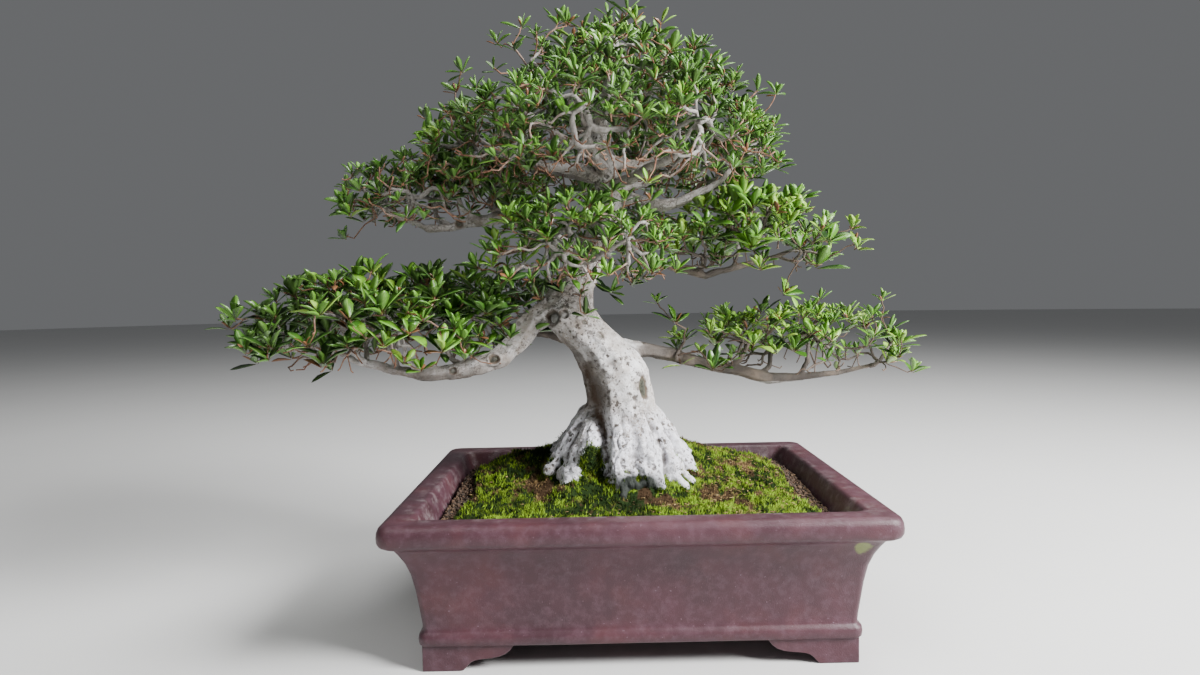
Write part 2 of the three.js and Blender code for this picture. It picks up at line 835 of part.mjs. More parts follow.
/** A whorl of leaves on its twig as one closed skin: twig, hub, bud and the blades that find room. */
function whorl(path, radii, axis, spin, leafLength, random) {
  const hub = path.at(-1).clone().addScaledVector(axis, HUB_HEIGHT);
  const points = [];
  const faces = [];
  const add = (p) => points.push(p) - 1;
  const strip = (low, high) => {
    for (let i = 0; i + 1 < low.length; i++) {
      faces.push([low[i], low[i + 1], high[i + 1]], [low[i], high[i + 1], high[i]]);
    }
  };
  let side = squareTo(axis);
  const outAt = (normal, turn) =>
    side
      .clone()
      .multiplyScalar(Math.cos(turn))
      .addScaledVector(vec(0, 0, 0).crossVectors(normal, side), Math.sin(turn));
  const ring = (centre, normal, radius) =>
    Array.from({ length: LEAVES }, (_, i) => {
      const turn = spin + (2 * Math.PI * (i - 0.5)) / LEAVES;
      return add(centre.clone().addScaledVector(outAt(normal, turn), radius));
    });
  const over = ring(hub, axis, HUB_RADIUS);
  const under = ring(path.at(-1), axis, HUB_RADIUS);
  const bud = add(hub.clone().addScaledVector(axis, 4));
  const blades = [];
  for (let i = 0; i < LEAVES; i++) {
    const j = (i + 1) % LEAVES;
    faces.push([over[i], over[j], bud]);
    const length = leafLength * (0.85 + 0.3 * random());
    const out = outAt(axis, spin + (2 * Math.PI * i) / LEAVES);
    const leaf = leafFrame(hub, axis, out, length, 0.45 + 0.45 * random());
    const fits =
      isClear(leaf.foot, leaf.middle, 0.8 * leaf.half) && isClear(leaf.middle, leaf.tip, 0.6 * leaf.half);
    if (!fits) {
      strip([under[i], under[j]], [over[i], over[j]]);
      continue;
    }
    blades.push(leaf);
    // Both faces of a blade are cut alike into three triangles, with a strip round the edge between them.
    const edge = [leaf.right, leaf.tip, leaf.left];
    const top = [over[i], ...edge.map(add), over[j]];
    const back = edge.map((p) => add(p.clone().addScaledVector(leaf.face, -BLADE_THICKNESS)));
    const bottom = [under[i], ...back, under[j]];
    faces.push([top[0], top[1], top[2]], [top[0], top[2], top[4]], [top[4], top[2], top[3]]);
    faces.push([bottom[0], bottom[2], bottom[1]], [bottom[0], bottom[4], bottom[2]]);
    faces.push([bottom[4], bottom[3], bottom[2]]);
    strip(bottom, top);
  }
  const directions = directionsOf(path);
  let above = under;
  for (let k = path.length - 2; k >= 0; k--) {
    side = side.clone().addScaledVector(directions[k], -side.dot(directions[k])).normalize();
    const below = ring(path[k], directions[k], radii[k]);
    strip([...below, below[0]], [...above, above[0]]);
    above = below;
  }
  const foot = add(path[0].clone());
  above.forEach((v, i) => faces.push([above[(i + 1) % LEAVES], v, foot]));
  return { geometry: facedGeometry(points, faces), blades };
}

/** The fullest of a few whorls on one twig, each turned differently on it. */
function fullestWhorl(pad, path, radii, random) {
  const along = directionsOf(path).at(-1);
  const axis = outward(pad, path.at(-1)).addScaledVector(along, 0.9).normalize();
  let best = null;
  for (let attempt = 0; attempt < 4; attempt++) {
    const made = whorl(path, radii, axis, 2 * Math.PI * random(), pad.leaf, random);
    if (!best || made.blades.length > best.blades.length) best = made;
    if (best.blades.length === LEAVES) break;
  }
  for (const { foot, middle, tip, half } of best.blades) {
    stand([foot, middle, tip], [half, half, 0.6 * half]);
  }
  return solidOf(best.geometry);
}

/** The leading twig's line from a fork to a tip: straight on from the branch, then bent towards the tip. */
function leadingPath(fork, tip) {
  const start = fork.at.clone().addScaledVector(fork.towards, FIT_GAP);
  const knee = start.clone().addScaledVector(fork.towards, 3);
  const bend = knee.clone().addScaledVector(fork.towards, 0.15 * knee.distanceTo(tip));
  return [start, knee, bend.lerp(tip, 0.3), tip];
}

/** One spray: a leading twig that goes on from its branch, side twigs, and a whorl at each twig's end. */
function makeSpray(pad, fork, tips, random) {
  const TWIG = 1.3; // radius of a side twig
  const radii = [END_RADIUS, END_RADIUS, 1.8, HUB_RADIUS];
  const fits = (tip) => {
    const [, knee, bend] = leadingPath(fork, tip);
    return isClear(knee, bend, END_RADIUS, fork.at) && isClear(bend, tip, END_RADIUS, fork.at);
  };
  const straightOn = fork.at.clone().addScaledVector(fork.towards, 20);
  const farFirst = [...tips].sort((a, b) => b.distanceTo(fork.at) - a.distanceTo(fork.at));
  const leader = farFirst.find(fits) ?? straightOn;
  const path = leadingPath(fork, leader);
  const parts = [fullestWhorl(pad, path, radii, random)];
  stand(path, radii);
  const others = farFirst.filter((tip) => tip !== leader).reverse();
  others.forEach((wanted, i) => {
    const foot = path[2].clone().lerp(leader, (0.7 * i) / others.length);
    for (let attempt = 0; attempt < 6; attempt++) {
      const stray = vec(random() - 0.5, random() - 0.5, random() - 0.5).multiplyScalar(10 * attempt);
      const tip = wanted.clone().add(stray);
      const reach = tip.clone().sub(foot);
      const clear = foot.clone().addScaledVector(reach, 8 / reach.length());
      if (!isClear(clear, tip, TWIG, leader)) continue;
      parts.push(fullestWhorl(pad, [foot, tip], [TWIG, HUB_RADIUS], random));
      stand([clear, tip], [TWIG, TWIG]);
      break;
    }
  });
  return wasm.Manifold.union(parts);
}

// ---------------------------------------------------------------- assembly

const materials = {
  pot: new THREE.MeshStandardMaterial({ color: 0x6b4a50, roughness: 0.55, metalness: 0 }),
  screen: new THREE.MeshStandardMaterial({ color: 0x1c1d1e, roughness: 0.6, metalness: 0 }),
  soil: new THREE.MeshStandardMaterial({ color: 0x3a2a1e, roughness: 1, metalness: 0 }),
  moss: new THREE.MeshStandardMaterial({ color: 0x6f8a22, roughness: 1, metalness: 0 }),
  bark: new THREE.MeshStandardMaterial({ color: 0xa9a49f, roughness: 0.85, metalness: 0 }),
  leaf: new THREE.MeshStandardMaterial({ color: 0x3c7a2c, roughness: 0.5, metalness: 0 }),
};

const bonsai = new THREE.Group();
bonsai.name = "satsuki_azalea_bonsai";

function addPiece(name, solid, material) {
  const mesh = new THREE.Mesh(geometryOf(solid), material);
  mesh.name = name;
  bonsai.add(mesh);
}

addPiece("pot", makePot(), materials.pot);
[-DRAIN_X, DRAIN_X].forEach((x, i) => addPiece(`drain_screen_${i + 1}`, makeScreen(x), materials.screen));
const socket = makeFlare(FIT_GAP);
addPiece("soil", makeSoil(socket), materials.soil);
addPiece("moss", makeMoss(socket), materials.moss);

const woodParts = [makeFlare(), makeTrunk()];
stand(
  TRUNK.map(([x, y, z]) => vec(x, y, z)),
  TRUNK.map((row) => row[3]),
);
for (const { points, radii } of Object.values(limbLines)) {
  woodParts.push(solidOf(bar(points, radii, LIMB_SIDES)));
  stand(points, radii);
}
const grownPads = Object.entries(PADS).map(([name, pad]) => ({ name, pad, ...branchPad(pad) }));
for (const { branches } of grownPads) {
  for (const { points, radii } of branches) woodParts.push(solidOf(bar(points, radii, LIMB_SIDES)));
}
addPiece("wood", wasm.Manifold.union(woodParts), materials.bark);

const random = seeded(7);
for (const { name, pad, forks } of grownPads) {
  const groups = forks.map(() => []);
  const tips = [...domePoints(pad, pad.whorls, 1), ...pad.outliers.map((p) => vec(...p))];
  for (const tip of tips) {
    const nearest = forks.reduce((a, b) => (a.at.distanceTo(tip) < b.at.distanceTo(tip) ? a : b));
    groups[forks.indexOf(nearest)].push(tip);
  }
  groups.forEach((group, i) => {
    const fork = forks[i];
    const own = group.length ? group : [fork.at.clone().addScaledVector(fork.towards, 30)];
    addPiece(`spray_${name}_${i + 1}`, makeSpray(pad, fork, own, random), materials.leaf);
  });
}

// The middle of the finished object's footprint becomes the origin.
const reach = new THREE.Box3().setFromObject(bonsai);
bonsai.position.set(-(reach.min.x + reach.max.x) / 2, -(reach.min.y + reach.max.y) / 2, -reach.min.z);

export default bonsai;
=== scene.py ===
import math

import bmesh
import bpy
import numpy as np
from mathutils import Matrix, Vector, noise
from mathutils.bvhtree import BVHTree


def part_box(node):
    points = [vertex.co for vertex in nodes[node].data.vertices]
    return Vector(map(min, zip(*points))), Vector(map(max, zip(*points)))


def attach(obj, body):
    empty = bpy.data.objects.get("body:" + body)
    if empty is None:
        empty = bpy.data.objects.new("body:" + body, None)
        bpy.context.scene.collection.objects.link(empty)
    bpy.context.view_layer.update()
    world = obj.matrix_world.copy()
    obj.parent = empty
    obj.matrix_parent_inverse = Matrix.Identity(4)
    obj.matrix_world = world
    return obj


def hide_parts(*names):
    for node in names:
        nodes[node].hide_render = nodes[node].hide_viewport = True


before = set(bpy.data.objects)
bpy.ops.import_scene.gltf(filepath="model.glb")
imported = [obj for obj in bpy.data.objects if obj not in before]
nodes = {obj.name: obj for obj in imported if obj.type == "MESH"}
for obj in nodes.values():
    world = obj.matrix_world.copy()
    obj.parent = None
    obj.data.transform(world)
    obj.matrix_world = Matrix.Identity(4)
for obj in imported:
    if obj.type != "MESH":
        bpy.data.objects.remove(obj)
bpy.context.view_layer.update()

# ---------------- the pot
# A rectangular pot of unglazed, purple-brown stoneware, pressed from slabs and fired hard. Its lip stands
# out over a hollow neck, its walls draw in to a base band, and bracket feet are stuck on at its corners.
# Two drain holes go through the floor.

MM = 0.001
POT_LOW, POT_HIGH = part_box("pot")
POT_MIDDLE = (POT_LOW + POT_HIGH) / 2
POT_HALF_X = (POT_HIGH.x - POT_LOW.x) / 2 / MM
POT_HALF_Y = (POT_HIGH.y - POT_LOW.y) / 2 / MM
POT_HEIGHT = POT_HIGH.z / MM
FOOT_HEIGHT = 22
DRAIN_RADIUS = 16
DRAIN_X = 95
DRAIN_CUT = (10, 60)  # heights between which the drains are cut
WALL_SWELLS = ((0.35, 55), (0.12, 14))  # the height and the size of its unevenness
WALL_INSET = 0.35  # so that the uneven walls stay within the lip's reach

# The wall's section, up the outside and down the inside. Each row is the inset from the lip's edge, the
# height and the corner's radius, in millimetres.
OUTSIDE = [
    (34, FOOT_HEIGHT, 6), (30.4, 22.8, 7), (28.8, 24.6, 8), (28.3, 29, 8), (28.9, 33, 8), (31, 34.6, 7),
    (32.2, 36.6, 6), (31.6, 44, 6), (29.9, 58, 6), (27.6, 74, 7), (24.4, 89, 8), (20.3, 100, 9),
    (15.5, 108.6, 10), (12.2, 113.4, 11), (9.5, 115.8, 12), (4.6, 117.6, 13), (1.6, 119.6, 14),
    (0.3, 122.6, 14), (0, 127, 14), (0.5, 131.5, 14), (2.2, 135.3, 13), (5, 137.4, 12),
    (8.5, POT_HEIGHT, 12), (23, POT_HEIGHT - 0.2, 11),
]
INSIDE = [
    (26.6, 137.2, 10), (28.4, 134.6, 10), (31, 128, 10), (35, 117, 10), (41, 95, 10), (45, 60, 10),
    (47, 40, 10), (50, 35, 10), (56, 34, 10),
]


def rounded_rectangle(half_x, half_y, corner, edge_steps=14, corner_steps=7):
    """Points round a rectangle with round corners, counter-clockwise, as rows of x and y."""
    points = []
    for quarter in range(4):
        sign_x = (1, -1, -1, 1)[quarter]
        sign_y = (1, 1, -1, -1)[quarter]
        middle = np.array([sign_x * (half_x - corner), sign_y * (half_y - corner)])
        turns = np.linspace(quarter, quarter + 1, corner_steps + 1) * math.pi / 2
        arc = middle + corner * np.stack([np.cos(turns), np.sin(turns)], 1)
        points.append(arc)
    loop = []
    for quarter, arc in enumerate(points):
        loop.extend(arc)
        start, end = arc[-1], points[(quarter + 1) % 4][0]
        shares = np.arange(1, edge_steps)[:, None] / edge_steps
        loop.extend(start + (end - start) * shares)
    return np.array(loop)


def skin_rings(rings):
    """The faces that join equal rings of points, and a lid over the first and over the last ring."""
    count = len(rings[0])
    index = np.arange(len(rings) * count).reshape(len(rings), count)
    nearer, further = index[:-1], index[1:]
    quads = np.stack([nearer, np.roll(nearer, -1, 1), np.roll(further, -1, 1), further], 2)
    return [*quads.reshape(-1, 4).tolist(), index[0, ::-1].tolist(), index[-1].tolist()]


def wobble(points, size):
    """Smooth noise from -1 to 1 at each point, with swells of the given size in millimetres."""
    return np.array([noise.noise(Vector(p) / size) for p in points])


def relief(points, swells):
    """Noise of several heights and sizes, added up at each point."""
    return sum(height * wobble(points, size) for height, size in swells)


def gather(shapes):
    """Several shapes' points and faces as one."""
    starts = np.cumsum([0] + [len(points) for points, _ in shapes])
    faces = [[i + int(start) for i in face] for start, (_, own) in zip(starts, shapes) for face in own]
    return np.vstack([points for points, _ in shapes]), faces


def hold_values(mesh, values):
    """Gives a mesh a number for each of its points, under each name."""
    for name, numbers in values.items():
        held = mesh.attributes.new(name, "FLOAT", "POINT")
        held.data.foreach_set("value", np.asarray(numbers, np.float32))


def new_piece(name, points, faces, values=None, smooth=True):
    """A mesh from points in millimetres about the middle of the pot's base, with a value for each point."""
    mesh = bpy.data.meshes.new(name)
    placed = np.asarray(points) * MM + np.array([POT_MIDDLE.x, POT_MIDDLE.y, 0])
    mesh.from_pydata(placed.tolist(), [], faces)
    hold_values(mesh, values or {})
    mesh.polygons.foreach_set("use_smooth", [smooth] * len(mesh.polygons))
    mesh.update()
    piece = bpy.data.objects.new(name, mesh)
    bpy.context.scene.collection.objects.link(piece)
    return piece


def bake_modifiers(piece):
    """Turns a piece's modifiers into its own mesh."""
    graph = bpy.context.evaluated_depsgraph_get()
    evaluated = piece.evaluated_get(graph)
    mesh = bpy.data.meshes.new_from_object(evaluated, preserve_all_data_layers=True, depsgraph=graph)
    piece.modifiers.clear()
    piece.data = mesh


class Finish:
    """A material in the making: its colour so far, and the place in metres that patterns are drawn by."""

    def __init__(self, name, ground):
        self.material = bpy.data.materials.new(name)
        self.material.use_nodes = True
        self.tree = self.material.node_tree
        self.shader = self.tree.nodes["Principled BSDF"]
        self.where = self.node("TexCoord").outputs["Object"]
        self.colour = ground

    def node(self, kind, sockets=None, **settings):
        """A node with its settings, and each socket set to a value or fed by another node's socket."""
        made = self.tree.nodes.new("ShaderNode" + kind)
        for key, value in settings.items():
            setattr(made, key, value)
        for key, value in (sockets or {}).items():
            if isinstance(value, bpy.types.NodeSocket):
                self.tree.links.new(value, made.inputs[key])
            else:
                made.inputs[key].default_value = value
        return made

    def noise(self, scale, detail=3, roughness=0.55):
        """Noise with so many swells to the metre."""
        sockets = {"Vector": self.where, "Scale": scale, "Detail": detail, "Roughness": roughness}
        return self.node("TexNoise", sockets).outputs["Fac"]

    def ramp(self, factor, low, high):
        """Nothing below low, all above high, and an even slope between."""
        return self.node("MapRange", {"Value": factor, "From Min": low, "From Max": high}).outputs["Result"]

    def patches(self, scale, low, high, detail=3, roughness=0.55):
        """Patches where the noise is above low, and full where it is above high."""
        return self.ramp(self.noise(scale, detail, roughness), low, high)

    def times(self, first, second):
        return self.node("Math", {0: first, 1: second}, operation="MULTIPLY").outputs[0]

    def minus(self, first, second):
        return self.node("Math", {0: first, 1: second}, operation="SUBTRACT").outputs[0]

    def value(self, name):
        """A number that the mesh holds for each of its points."""
        return self.node("Attribute", attribute_name=name).outputs["Fac"]

    def mix(self, factor, first, second):
        """From the first colour to the second, by a factor."""
        first, second = ((*colour, 1) if isinstance(colour, tuple) else colour for colour in (first, second))
        return self.node("Mix", {0: factor, 6: first, 7: second}, data_type="RGBA").outputs[2]

    def over(self, colour, factor, share=None):
        """Lays a colour over the colour so far, by a factor or by a share of it."""
        factor = factor if share is None else self.times(factor, share)
        self.colour = self.mix(factor, self.colour, colour)

    def join(self, roughness, height, distance, strength=1.0, specular=0.5):
        """Joins the colour, a roughness and a bump of so many metres to the shader."""
        bump = self.node("Bump", {"Height": height, "Distance": distance, "Strength": strength})
        joined = {"Base Color": self.colour, "Roughness": roughness, "Normal": bump.outputs["Normal"]}
        for socket, source in joined.items():
            self.tree.links.new(source, self.shader.inputs[socket])
        self.shader.inputs["Specular IOR Level"].default_value = specular


def wear(piece, finish):
    """Gives a piece one material and no other."""
    piece.data.materials.clear()
    piece.data.materials.append(finish.material)


# The walls are one skin, a little uneven as pressed clay is, with lime left on its inner face.
pot_rings = []
for inset, height, corner in (*OUTSIDE, *INSIDE):
    loop = rounded_rectangle(POT_HALF_X - inset, POT_HALF_Y - inset, corner)
    pot_rings.append(np.column_stack([loop, np.full(len(loop), height)]))
pot_points = np.vstack(pot_rings)
uneven = relief(pot_points, WALL_SWELLS)
pot_points[:, 2] += 0.6 * uneven
pot_points[:, :2] *= 1 - (WALL_INSET + uneven[:, None]) / POT_HALF_X
inner_side = np.repeat([0.0] * (len(OUTSIDE) - 1) + [1.0] * (len(INSIDE) + 1), len(pot_rings[0]))
pot = new_piece("pot_body", pot_points, skin_rings(pot_rings), {"inner_side": inner_side})

turns = np.linspace(0, 2 * math.pi, 32, endpoint=False)
circle = DRAIN_RADIUS * np.stack([np.cos(turns), np.sin(turns)], 1)
drains = []
for side in (-DRAIN_X, DRAIN_X):
    rings = [np.column_stack([circle + [side, 0], np.full(len(circle), height)]) for height in DRAIN_CUT]
    drains.append((np.vstack(rings), skin_rings(rings)))
cutter = new_piece("drain_cutter", *gather(drains))
cut = pot.modifiers.new("drains", "BOOLEAN")
cut.operation = "DIFFERENCE"
cut.object = cutter
bake_modifiers(pot)
bpy.data.objects.remove(cutter)

# Each foot is two bracket boards that meet at the corner: a flat sole that ends in a cusp, then a long lobe.
FOOT_FRONT_REACH = 81
FOOT_SIDE_REACH = 66
FOOT_THICKNESS = 16
FOOT_INSET = 32.2
FOOT_ARRIS = 0.7  # its edges are rounded by this much
FOOT_OUTLINE = [
    (0, FOOT_HEIGHT + 3), (0, 0.8), (0.008, 0), (0.425, 0), (0.445, 0.7), (0.475, 3.2), (0.5, 5.6),
    (0.53, 7.6), (0.57, 9.2), (0.65, 10.2), (0.74, 10.8), (0.83, 12), (0.9, 14.2), (0.955, 17.6),
    (1, FOOT_HEIGHT + 1), (1, FOOT_HEIGHT + 3),
]


def foot_board(corner, along, inward, reach):
    """One board of a foot: its outline runs along the wall from the corner, and its thickness inward."""
    slices = []
    face, back = FOOT_ARRIS, FOOT_THICKNESS - FOOT_ARRIS
    for depth, drawn_in in ((0, FOOT_ARRIS), (face, 0), (back, 0), (FOOT_THICKNESS, FOOT_ARRIS)):
        outline = []
        for share, height in FOOT_OUTLINE:
            lift = drawn_in if height < 1 else 0.6 * drawn_in
            run = max(share * reach - drawn_in, drawn_in)
            outline.append(corner + along * run + inward * depth + np.array([0, 0, height + lift]))
        slices.append(np.array(outline))
    return np.vstack(slices), skin_rings(slices)


boards = []
for sign_x in (-1, 1):
    for sign_y in (-1, 1):
        corner = np.array([sign_x * (POT_HALF_X - FOOT_INSET), sign_y * (POT_HALF_Y - FOOT_INSET), 0])
        in_x, in_y = np.array([-sign_x, 0, 0]), np.array([0, -sign_y, 0])
        side_corner = corner + in_y * (FOOT_THICKNESS - 0.1)
        boards.append(foot_board(corner, in_x, in_y, FOOT_FRONT_REACH))
        boards.append(foot_board(side_corner, in_y, in_x, FOOT_SIDE_REACH - FOOT_THICKNESS))
feet = new_piece("pot_feet", *gather(boards), smooth=False)
form = bmesh.new()
form.from_mesh(feet.data)
bmesh.ops.recalc_face_normals(form, faces=form.faces)
form.to_mesh(feet.data)
form.free()

CLAY = (0.066, 0.025, 0.034)
CLAY_DARK = (0.044, 0.019, 0.025)
CLAY_RED = (0.090, 0.028, 0.031)
CLAY_PALE = (0.18, 0.115, 0.15)
LIME = (0.36, 0.32, 0.32)
LICHEN = (0.145, 0.165, 0.05)
LICHEN_SPOT = (POT_MIDDLE.x + 0.190, POT_MIDDLE.y - 0.158, 0.111)

clay = Finish("stoneware", CLAY_DARK)
cloud = clay.noise(14, 5, 0.6)
clay.over(CLAY, clay.ramp(cloud, 0.36, 0.66))
clay.over(CLAY_RED, clay.patches(23, 0.5, 0.78, 4), 0.6)
clay.over(CLAY_PALE, clay.patches(110, 0.46, 0.8, 6, 0.7), 0.28)
clay.over(CLAY_PALE, clay.patches(480, 0.71, 0.78, 2))
clay.over(LIME, clay.times(clay.value("inner_side"), clay.patches(60, 0.5, 0.72, 7, 0.75)), 0.4)
from_spot = clay.node("VectorMath", {0: clay.where, 1: LICHEN_SPOT}, operation="DISTANCE").outputs["Value"]
ragged = clay.minus(from_spot, clay.times(clay.noise(160, 4), 0.011))
clay.over(LICHEN, clay.ramp(ragged, 0.0035, 0.0005))
clay.join(clay.ramp(cloud, -0.45, 1.9), clay.noise(900), 0.0003, specular=0.32)
for piece in (pot, feet):
    wear(piece, clay)
    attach(piece, "root")
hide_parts("pot")

# ---------------- the drain nets
# A square of black plastic net lies on the floor over each drain hole and keeps the soil in.

NET_BLACK = (0.012, 0.013, 0.014)
NET_DUSTY = (0.06, 0.05, 0.04)

net = Finish("net_plastic", NET_BLACK)
dust = net.patches(220, 0.45, 0.8, 4)
net.over(NET_DUSTY, dust)
net.join(net.ramp(dust, -1.2, 1.2), net.noise(1500, 2), 0.0001)
for name in ("drain_screen_1", "drain_screen_2"):
    wear(nodes[name], net)

# ---------------- the soil
# Baked clay granules fill the pot and are heaped up behind the trunk. They show in the gap between the
# moss and the walls, where loose granules lie on top.

SOIL_DARK = (0.018, 0.012, 0.008)
SOIL_BROWN = (0.085, 0.047, 0.026)
GRANULE_TAN = (0.19, 0.115, 0.06)


def cells_at(finish, where, scale):
    """Cells at random, so many to the metre: a draw for each, and the distance from its middle."""
    cells = finish.node("TexVoronoi", {"Vector": where, "Scale": scale})
    drawn = finish.node("SeparateColor", {"Color": cells.outputs["Color"]}).outputs["Red"]
    return drawn, cells.outputs["Distance"]


soil_clay = Finish("soil_granules", SOIL_DARK)
drawn, from_middle = cells_at(soil_clay, soil_clay.where, 330)
soil_clay.over(SOIL_BROWN, drawn)
soil_clay.over(GRANULE_TAN, soil_clay.patches(90, 0.55, 0.8))
soil_clay.join(soil_clay.ramp(drawn, -8, 1.2), soil_clay.minus(1.0, from_middle), 0.0016)
wear(nodes["soil"], soil_clay)


def search_tree(mesh):
    """A search tree over a mesh's faces."""
    return BVHTree.FromPolygons([v.co for v in mesh.vertices], [p.vertices for p in mesh.polygons])


def height_over(search, x, y, missing):
    """Height in millimetres of a node's top over a place about the pot's middle."""
    start = Vector((x * MM + POT_MIDDLE.x, y * MM + POT_MIDDLE.y, 1))
    hit = search.ray_cast(start, Vector((0, 0, -1)))[0]
    return hit.z / MM if hit else missing


def pebble():
    """A small rounded stone's points and faces."""
    form = bmesh.new()
    bmesh.ops.create_icosphere(form, subdivisions=1, radius=1)
    points = np.array([v.co for v in form.verts])
    faces = [[v.index for v in f.verts] for f in form.faces]
    form.free()
    return points, faces


GRANULES = 2600
GRANULE_SIZE = (0.9, 2.3)
LOOSE_FROM = 0.78  # share of the way to the walls from where granules lie loose
WALLS_FROM_LIP = 36
draw = np.random.default_rng(11)
soil_search, moss_search = (search_tree(nodes[name].data) for name in ("soil", "moss"))
stone, stone_faces = pebble()
stones = []
while len(stones) < GRANULES:
    x, y = draw.uniform(-1, 1, 2) * (POT_HALF_X - WALLS_FROM_LIP - 4, POT_HALF_Y - WALLS_FROM_LIP - 4)
    near_wall = max(abs(x) / (POT_HALF_X - WALLS_FROM_LIP), abs(y) / (POT_HALF_Y - WALLS_FROM_LIP))
    if draw.random() > max(0.0, (near_wall - LOOSE_FROM) / (1 - LOOSE_FROM)):
        continue
    ground = max(height_over(soil_search, x, y, 0), height_over(moss_search, x, y, 0) - 3)
    size = draw.uniform(*GRANULE_SIZE) * draw.uniform(0.7, 1.2, 3)
    rough = stone * size * draw.uniform(0.85, 1.15, (len(stone), 1))
    stones.append((rough + [x, y, ground + 0.35 * size[2]], stone_faces))
granules = new_piece("soil_granules", *gather(stones))
wear(granules, soil_clay)
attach(granules, "root")

# ---------------- the moss
# A carpet of living moss is pressed on the soil in pieces. It has grown together into cushions, lush in the
# damp places and dry and brown in others, and its shoots stand a few millimetres high.

MOSS_STEP = 2.7
SOCKET_MIDDLE = (-9.0, 4.0)  # the roots come up through the carpet round this place
SOCKET_REACH = 98
CARPET_SWELLS = ((3.4, 21), (3.8, 9), (1.3, 4))
COLLAR = (62, 26, 7)  # it is pressed up against the roots: how far out, how wide and how high
MOSS_SHOOTS = 33000
SHOOT_HEIGHT = (1.9, 5.2)
# Lush and dry places on the carpet: x, y, reach, and how much fresher or drier than the rest.
MOSS_PLACES = [
    (-125, -85, 42, 0.30), (-60, -118, 36, 0.25), (60, -112, 30, 0.40), (150, -98, 32, 0.55),
    (66, 34, 26, 0.50), (88, -62, 22, -0.60), (96, -92, 16, -0.30), (118, 28, 34, -0.50),
    (72, 86, 30, -0.40), (-165, -30, 26, -0.25), (40, -90, 15, -0.50), (-90, 70, 45, 0.10),
    (-100, -50, 24, -0.35), (-20, -112, 16, -0.40),
]
# Cushions that have swollen up: x, y, reach and rise.
MOSS_MOUNDS = [(-66, -62, 15, 7), (-128, 40, 30, 5), (112, -88, 22, 4), (-96, -100, 24, 3)]
# Places where painted shade makes the moss nearly black: x, y, reach and how dark.
PAINTED_SHADE_PLACES = [(6, -84, 19, 0.9), (-40, -60, 12, 0.4), (-84, 26, 40, 0.35)]


def swell(away):
    """From 1 at nothing, falling softly away on both sides."""
    return np.exp(-(away**2))


def near_place(points, x, y, reach):
    """From 1 at a place, falling softly away past its reach."""
    return swell(np.hypot(points[:, 0] - x, points[:, 1] - y) / reach)


def moss_freshness(points):
    """From 0 for dry, brown moss to 1 for lush moss, at each place on the carpet."""
    flat = points * [1, 1, 0]
    fresh = 0.64 + 0.5 * wobble(flat, 38) + 0.65 * wobble(flat + 400, 14) + 0.5 * wobble(flat + 90, 5.5)
    by_wall = np.maximum(np.abs(points[:, 0]) - POT_HALF_X + 48, 0)
    fresh -= 0.09 * by_wall
    for x, y, reach, change in MOSS_PLACES:
        fresh += change * near_place(points, x, y, reach)
    return np.clip(fresh, 0, 1)


def moss_tone(points):
    """From 0 for dark moss to 1 for bright moss, at each place."""
    tone = 0.47 + 0.8 * wobble(points, 9) + 0.55 * wobble(points + 700, 24)
    # Painted shade: the moss is darker towards the left.
    tone -= 0.14 * np.clip((-points[:, 0] - 20) / 90, 0, 1)
    # Painted shade: the moss is nearly black at these places.
    for x, y, reach, dark in PAINTED_SHADE_PLACES:
        tone -= dark * near_place(points, x, y, reach)
    return tone


def moss_shoots(feet, directions, fresh, draw):
    """Small three-sided spires on the given feet, as points, faces and values for each point."""
    count = len(feet)
    height = draw.uniform(*SHOOT_HEIGHT, (count, 1)) * (0.6 + 0.45 * fresh[:, None])
    height *= 1 + 0.55 * wobble(feet, 7)[:, None]
    lean = directions + draw.normal(0, 0.42, (count, 3))
    lean /= np.linalg.norm(lean, axis=1, keepdims=True)
    turn = draw.uniform(0, 2 * math.pi, count)
    corners = []
    for k in range(3):
        angle = turn + k * 2 * math.pi / 3
        offset = np.column_stack([np.cos(angle), np.sin(angle), np.zeros(count)])
        corners.append(feet - lean * 1.2 + offset * draw.uniform(0.6, 1.2, (count, 1)))
    points = np.stack([*corners, feet + lean * height], 1).reshape(-1, 3)
    start = 4 * np.arange(count)[:, None]
    faces = np.concatenate([start + [[a, b, 3]] for a, b in ((0, 1), (1, 2), (2, 0))]).tolist()
    tip = np.tile([0.0, 0.0, 0.0, 1.0], count)
    tone = np.repeat(np.clip(moss_tone(feet) + draw.normal(0, 0.22, count), 0, 1), 4)
    return points, faces, {"fresh": np.repeat(fresh, 4), "tip": tip, "tone": tone}


moss_low, moss_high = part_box("moss")
xs = np.arange(moss_low.x - POT_MIDDLE.x, moss_high.x - POT_MIDDLE.x, MOSS_STEP * MM) / MM
ys = np.arange(moss_low.y, moss_high.y, MOSS_STEP * MM) / MM
tops = np.array([[height_over(moss_search, x, y, np.nan) for y in ys] for x in xs])
grid_x, grid_y = np.meshgrid(xs, ys, indexing="ij")
from_socket = np.hypot(grid_x - SOCKET_MIDDLE[0], grid_y - SOCKET_MIDDLE[1])
under_trunk = np.isnan(tops) & (from_socket < SOCKET_REACH)
